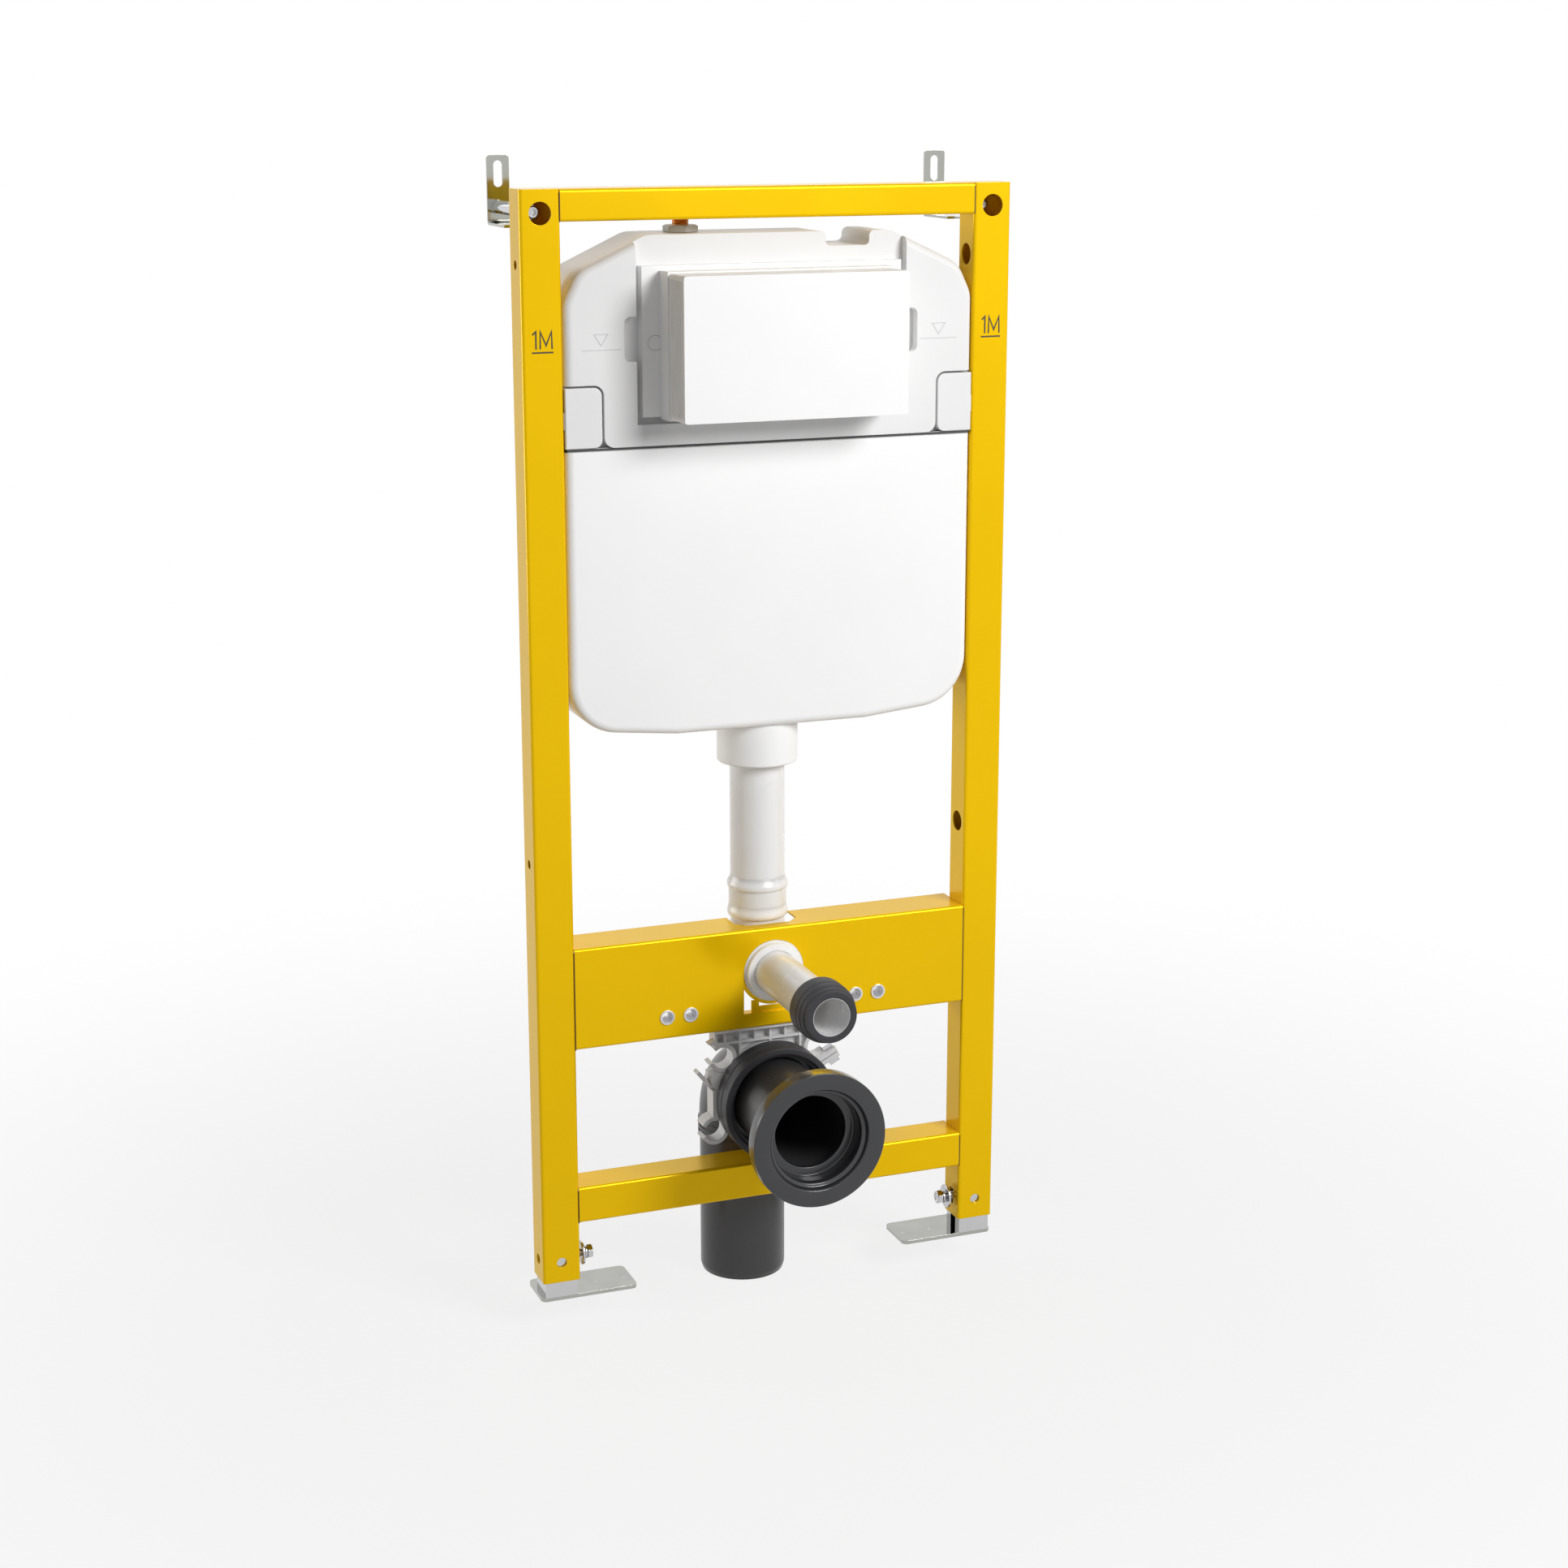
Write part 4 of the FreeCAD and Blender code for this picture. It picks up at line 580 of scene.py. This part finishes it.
# Water inlet: a turned brass nipple with a G 3/8 pipe thread, and its moulded hexagon nut.
# The brass is dark from handling, with bright crests on the thread.
brass = finish("turned_brass", colour(196, 124, 52), colour(240, 188, 110), 0.3, wear=0.7,
               edge=0.25, clouds=0.12, cloud_size=9, grain=0.4, depth=0.004, Metallic=1.0)
nut_plastic = finish("grey_nylon", colour(188, 188, 188), colour(225, 225, 225), 0.42,
                     edge=0.4, grain=0.5, depth=0.01)
INLET = spot(-77.0, 48.03, 0)
INLET_THREAD = {"radius": 8.33, "pitch": 1.337, "depth": 0.8}
INLET_FLATS = 30
nipple = wound("inlet_thread", [*even((1054.0, 7.0), (1054.0, 7.8), (1071.0, 7.8)),
                                *thread(1071.3, 1091.6, **INLET_THREAD),
                                *even((1092.0, 7.3), (1092.0, 6.6), (1091.4, 6.2))],
               INLET, "Z", brass)
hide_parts("inlet_nipple")
nut = wound("inlet_hexagon", [*even((1064.0, 8.4)), *hex_body(INLET_FLATS, 1064.4, 1071.0),
                              *even((1071.0, 9.2), (1070.4, 8.4))], INLET, "Z", nut_plastic)
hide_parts("inlet_nut")


# Flush pipes: glossy white polyethylene pipe and elbow, welded beads at the socket,
# and the short outlet pipe that passes through the middle rail's keyhole.
pipe_white = finish("pipe_polyethylene", colour(252, 252, 252), colour(255, 255, 255), 0.26,
                    wear=0.05, edge=0.6, clouds=0.015, cloud_size=50, grain=2.2, depth=0.008,
                    Specular_IOR_Level=0.5, Coat_Weight=0.2, Coat_Roughness=0.12,
                    Subsurface_Weight=0.5, Subsurface_Radius=(1.0, 1.0, 1.0),
                    Subsurface_Scale=4 * MM)
paint(pipe_white, "flush_pipe", "flush_elbow", "flush_outlet")
BEAD_PEAK = 31.4
PIPE_OUTER = 28.0
SOCKET_OUTER = 29.6
UNDERSIDE = [(-4.8, -0.1), (-4.2, 0.45), (-3.0, 0.8), (-1.2, 1.0)]
SLOPE = [(1.0, 0.97), (2.8, 0.75), (4.8, 0.4), (6.8, 0.13), (8.8, 0.02), (9.8, -0.1)]
for name, height, below, above in (("high", 408.0, SOCKET_OUTER, PIPE_OUTER),
                                   ("low", 378.0, PIPE_OUTER, SOCKET_OUTER)):
    bead = [(height + rise, root + share * (BEAD_PEAK - root))
            for root, half in ((below, UNDERSIDE), (above, SLOPE)) for rise, share in half]
    wound(f"elbow_bead_{name}", even(*bead), spot(0, 47.0, 0), "Z", pipe_white)


# Rubber parts: the stepped flush seal, the waste flange and the ring over the bend's socket.
# They are moulded in grey-black rubber with soft corners; only the flange comes out polished,
# and a white liner at the pipe's end carries the seal's nose.
soft_rubber = finish("matt_rubber", colour(58, 58, 62), colour(80, 80, 84), 0.5, wear=0.4,
                     edge=0.8, clouds=0.08, cloud_size=25, grain=0.8, depth=0.015,
                     Specular_IOR_Level=0.3)
rubber = finish("moulded_rubber", colour(44, 45, 48), colour(74, 75, 78), 0.4, wear=0.5,
                edge=0.8, clouds=0.1, cloud_size=25, grain=0.8, depth=0.015,
                Specular_IOR_Level=0.2, Coat_Weight=0.9, Coat_Roughness=0.15)
FLUSH = spot(0, 0, 326.0)
WASTE = spot(0, 0, 188.0)
seal = wound("stepped_seal", even(*soften([
    (-157.0, 19.5), (-157.0, 26.1), (-151.2, 26.6), (-150.6, 28.3), (-145.4, 28.8),
    (-144.8, 30.1), (-139.6, 30.4), (-139.2, 29.9), (-138.2, 29.9), (-137.8, 30.7),
    (-122.0, 30.7), (-122.0, 22.6), (-150.0, 22.6), (-150.0, 19.5)], 0.5)), FLUSH, "Y",
    soft_rubber)
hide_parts("flush_seal")
wound("outlet_liner", even(*soften([(-156.6, 18.9), (-156.6, 19.4), (-150.1, 19.4),
                                    (-150.1, 20.3), (-146.0, 20.3), (-146.0, 18.9)], 0.2)),
      FLUSH, "Y", pipe_white)
flange = wound("waste_collar", even(*soften([
    (-128.0, 53.0), (-128.0, 70.0), (-112.0, 70.0), (-109.5, 62.5), (-98.5, 50.0),
    (-90.0, 47.6), (-90.0, 45.1), (-96.0, 45.1), (-96.0, 37.6), (-101.8, 37.6),
    (-102.0, 46.1), (-108.0, 46.9), (-108.8, 46.1), (-114.6, 46.9), (-115.4, 46.1),
    (-121.6, 47.2), (-122.6, 50.6), (-125.2, 51.4)], 1.1)), WASTE, "Y", rubber)
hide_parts("waste_flange")
collar = wound("socket_ring", even(*soften([
    (-14.0, 49.0), (-14.0, 53.4), (-20.0, 53.6), (-20.0, 60.0), (-6.9, 60.0), (-6.3, 59.3),
    (-5.1, 59.3), (-4.5, 60.0), (8.0, 60.0), (8.0, 54.1), (0.0, 54.1), (0.0, 49.0)], 1.0)),
    WASTE, "Y", soft_rubber)
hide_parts("waste_ring")


# Waste bend, connector and pipe: near-black polyethylene, drawn and welded,
# with three ridges under the bend and a chamfered spigot at the lower end.
dark_plastic = finish("dark_polyethylene", colour(58, 58, 60), colour(84, 84, 87), 0.3,
                      wear=0.2, edge=0.8, clouds=0.1, cloud_size=40, grain=3.0, depth=0.01,
                      Specular_IOR_Level=0.5)
paint(dark_plastic, "waste_bend", "waste_connector")
spigot = wound("waste_spigot", even(*soften([
    (-35.0, 42.0), (-35.0, 43.2), (-29.0, 45.0), (116.0, 45.0), (116.0, 42.0)], 0.6)),
    spot(0, 95.0, 0), "Z", dark_plastic)
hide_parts("waste_pipe")


# Pipe hanger: a ribbed moulding in light grey glass-filled nylon with sprung ears.
# Its strap closes round the socket with a lever on one side and a screw on the other.
grey_plastic = finish("light_grey_nylon", colour(222, 222, 222), colour(244, 244, 244), 0.4,
                      wear=0.25, edge=0.6, clouds=0.04, cloud_size=20, grain=0.5, depth=0.012,
                      Specular_IOR_Level=0.45)
paint(grey_plastic, "pipe_hanger", "pipe_strap", "strap_lever")
paint(zinc, "strap_screw")


# Punch marks: two small centre marks on each foot plate, where the fixing screws are drilled.
# They are pressed into the plate before it is plated.
PUNCHED_ACROSS = (157.0, 188.0)
PUNCHED_DEPTH = 24.5
mark_rows = even(*soften([(3.9, 1.5), (4.15, 1.3), (4.15, 0.8), (3.9, 0.4)], 0.1))
for name, side in SIDES:
    for number, across in enumerate(PUNCHED_ACROSS, start=1):
        wound(f"punch_mark_{name}_{number}", mark_rows, spot(side * across, PUNCHED_DEPTH, 0),
              "Z", zinc, f"leg_{name}")


# Studio: a pale floor just under the waste pipe's end that fades into white surroundings,
# one soft lamp from the upper right, two from behind, and a camera left of the frame and a
# little higher than its top.
FADE_START = 0.4
FADE_END = 1.7
NEAR_SHARE = 0.82


def seen_directly(tree):
    """The share of rays that see the surroundings: from the camera, a mirror or clear glass."""
    path = tree.nodes.new("ShaderNodeLightPath")
    seen = path.outputs["Is Camera Ray"]
    for ray in ("Is Glossy Ray", "Is Transmission Ray"):
        wider = add(tree, "ShaderNodeMath", operation="MAXIMUM")
        tree.links.new(seen, wider.inputs[0])
        tree.links.new(path.outputs[ray], wider.inputs[1])
        seen = wider.outputs[0]
    return seen


def floor_white():
    """Pale floor that takes the object's shadow near it and turns plain white further out."""
    material = bpy.data.materials.new("floor_white")
    material.use_nodes = True
    tree = material.node_tree
    surface = tree.nodes["Principled BSDF"]
    surface.inputs["Base Color"].default_value = colour(200, 200, 200)
    surface.inputs["Roughness"].default_value = 0.8
    surface.inputs["Specular IOR Level"].default_value = 0.1
    light = tree.nodes.new("ShaderNodeEmission")
    where = add(tree, "ShaderNodeTexCoord").outputs["Object"]
    away = add(tree, "ShaderNodeVectorMath", operation="LENGTH")
    tree.links.new(where, away.inputs[0])
    fade = add(tree, "ShaderNodeMapRange", interpolation_type="SMOOTHSTEP")
    tree.links.new(away.outputs["Value"], fade.inputs["Value"])
    fade.inputs["From Min"].default_value = FADE_START
    fade.inputs["From Max"].default_value = FADE_END
    fade.inputs["To Min"].default_value = NEAR_SHARE
    share = add(tree, "ShaderNodeMath", operation="MULTIPLY")
    tree.links.new(seen_directly(tree), share.inputs[0])
    tree.links.new(fade.outputs[0], share.inputs[1])
    blend = tree.nodes.new("ShaderNodeMixShader")
    tree.links.new(share.outputs[0], blend.inputs[0])
    tree.links.new(surface.outputs[0], blend.inputs[1])
    tree.links.new(light.outputs[0], blend.inputs[2])
    tree.links.new(blend.outputs[0], tree.nodes["Material Output"].inputs["Surface"])
    return material


FLOOR_SIZE = 60.0
FLOOR_GAP = 0.5
floor_mesh = bpy.data.meshes.new("floor")
floor_mesh.from_pydata([(x * FLOOR_SIZE, y * FLOOR_SIZE, 0.0)
                        for x, y in ((-1, -1), (1, -1), (1, 1), (-1, 1))], [], [(0, 1, 2, 3)])
floor_mesh.materials.append(floor_white())
floor = bpy.data.objects.new("floor", floor_mesh)
floor.location = (middle_x, front_y, cad_box[0].z - FLOOR_GAP * MM)
bpy.context.scene.collection.objects.link(floor)

world = bpy.data.worlds.new("surroundings")
world.use_nodes = True
bpy.context.scene.world = world
sky = world.node_tree
AMBIENT = 0.18
strength = add(sky, "ShaderNodeMapRange")
strength.inputs["To Min"].default_value = AMBIENT
strength.inputs["To Max"].default_value = 1.0
sky.links.new(seen_directly(sky), strength.inputs["Value"])
backdrop = sky.nodes["Background"]
backdrop.inputs["Color"].default_value = (1.0, 1.0, 1.0, 1.0)
sky.links.new(strength.outputs[0], backdrop.inputs["Strength"])


def lamp(name, place, aim, size, power):
    """A soft rectangular lamp that faces its aim."""
    light = bpy.data.lights.new(name, "AREA")
    light.shape = "RECTANGLE"
    light.size, light.size_y = size
    light.energy = power
    holder = bpy.data.objects.new(name, light)
    holder.location = place
    holder.rotation_euler = (Vector(aim) - Vector(place)).to_track_quat("-Z", "Y").to_euler()
    bpy.context.scene.collection.objects.link(holder)


centre = (cad_box[0] + cad_box[1]) / 2
lamp("key", centre + Vector((1.1, -2.2, 1.4)), centre, (1.15, 1.15), 62)
lamp("side", centre + Vector((-2.5, 1.8, 0.3)), centre, (1.8, 1.4), 34)
lamp("rim", centre + Vector((0.3, 2.4, 1.6)), centre, (2.4, 1.6), 9)

LENS = 64.27
SENSOR_WIDTH = 36.0
LOOK_DOWN = 14.32
LOOK_RIGHT = 21.23
camera = bpy.data.cameras.new("camera")
camera.lens = LENS
camera.sensor_width = SENSOR_WIDTH
view = bpy.data.objects.new("camera", camera)
view.location = spot(-973.3, -2533.9, 1214.8)
view.rotation_euler = (math.radians(90 - LOOK_DOWN), 0, math.radians(-LOOK_RIGHT))
bpy.context.scene.collection.objects.link(view)
bpy.context.scene.camera = view
bpy.context.scene.view_settings.view_transform = "Standard"
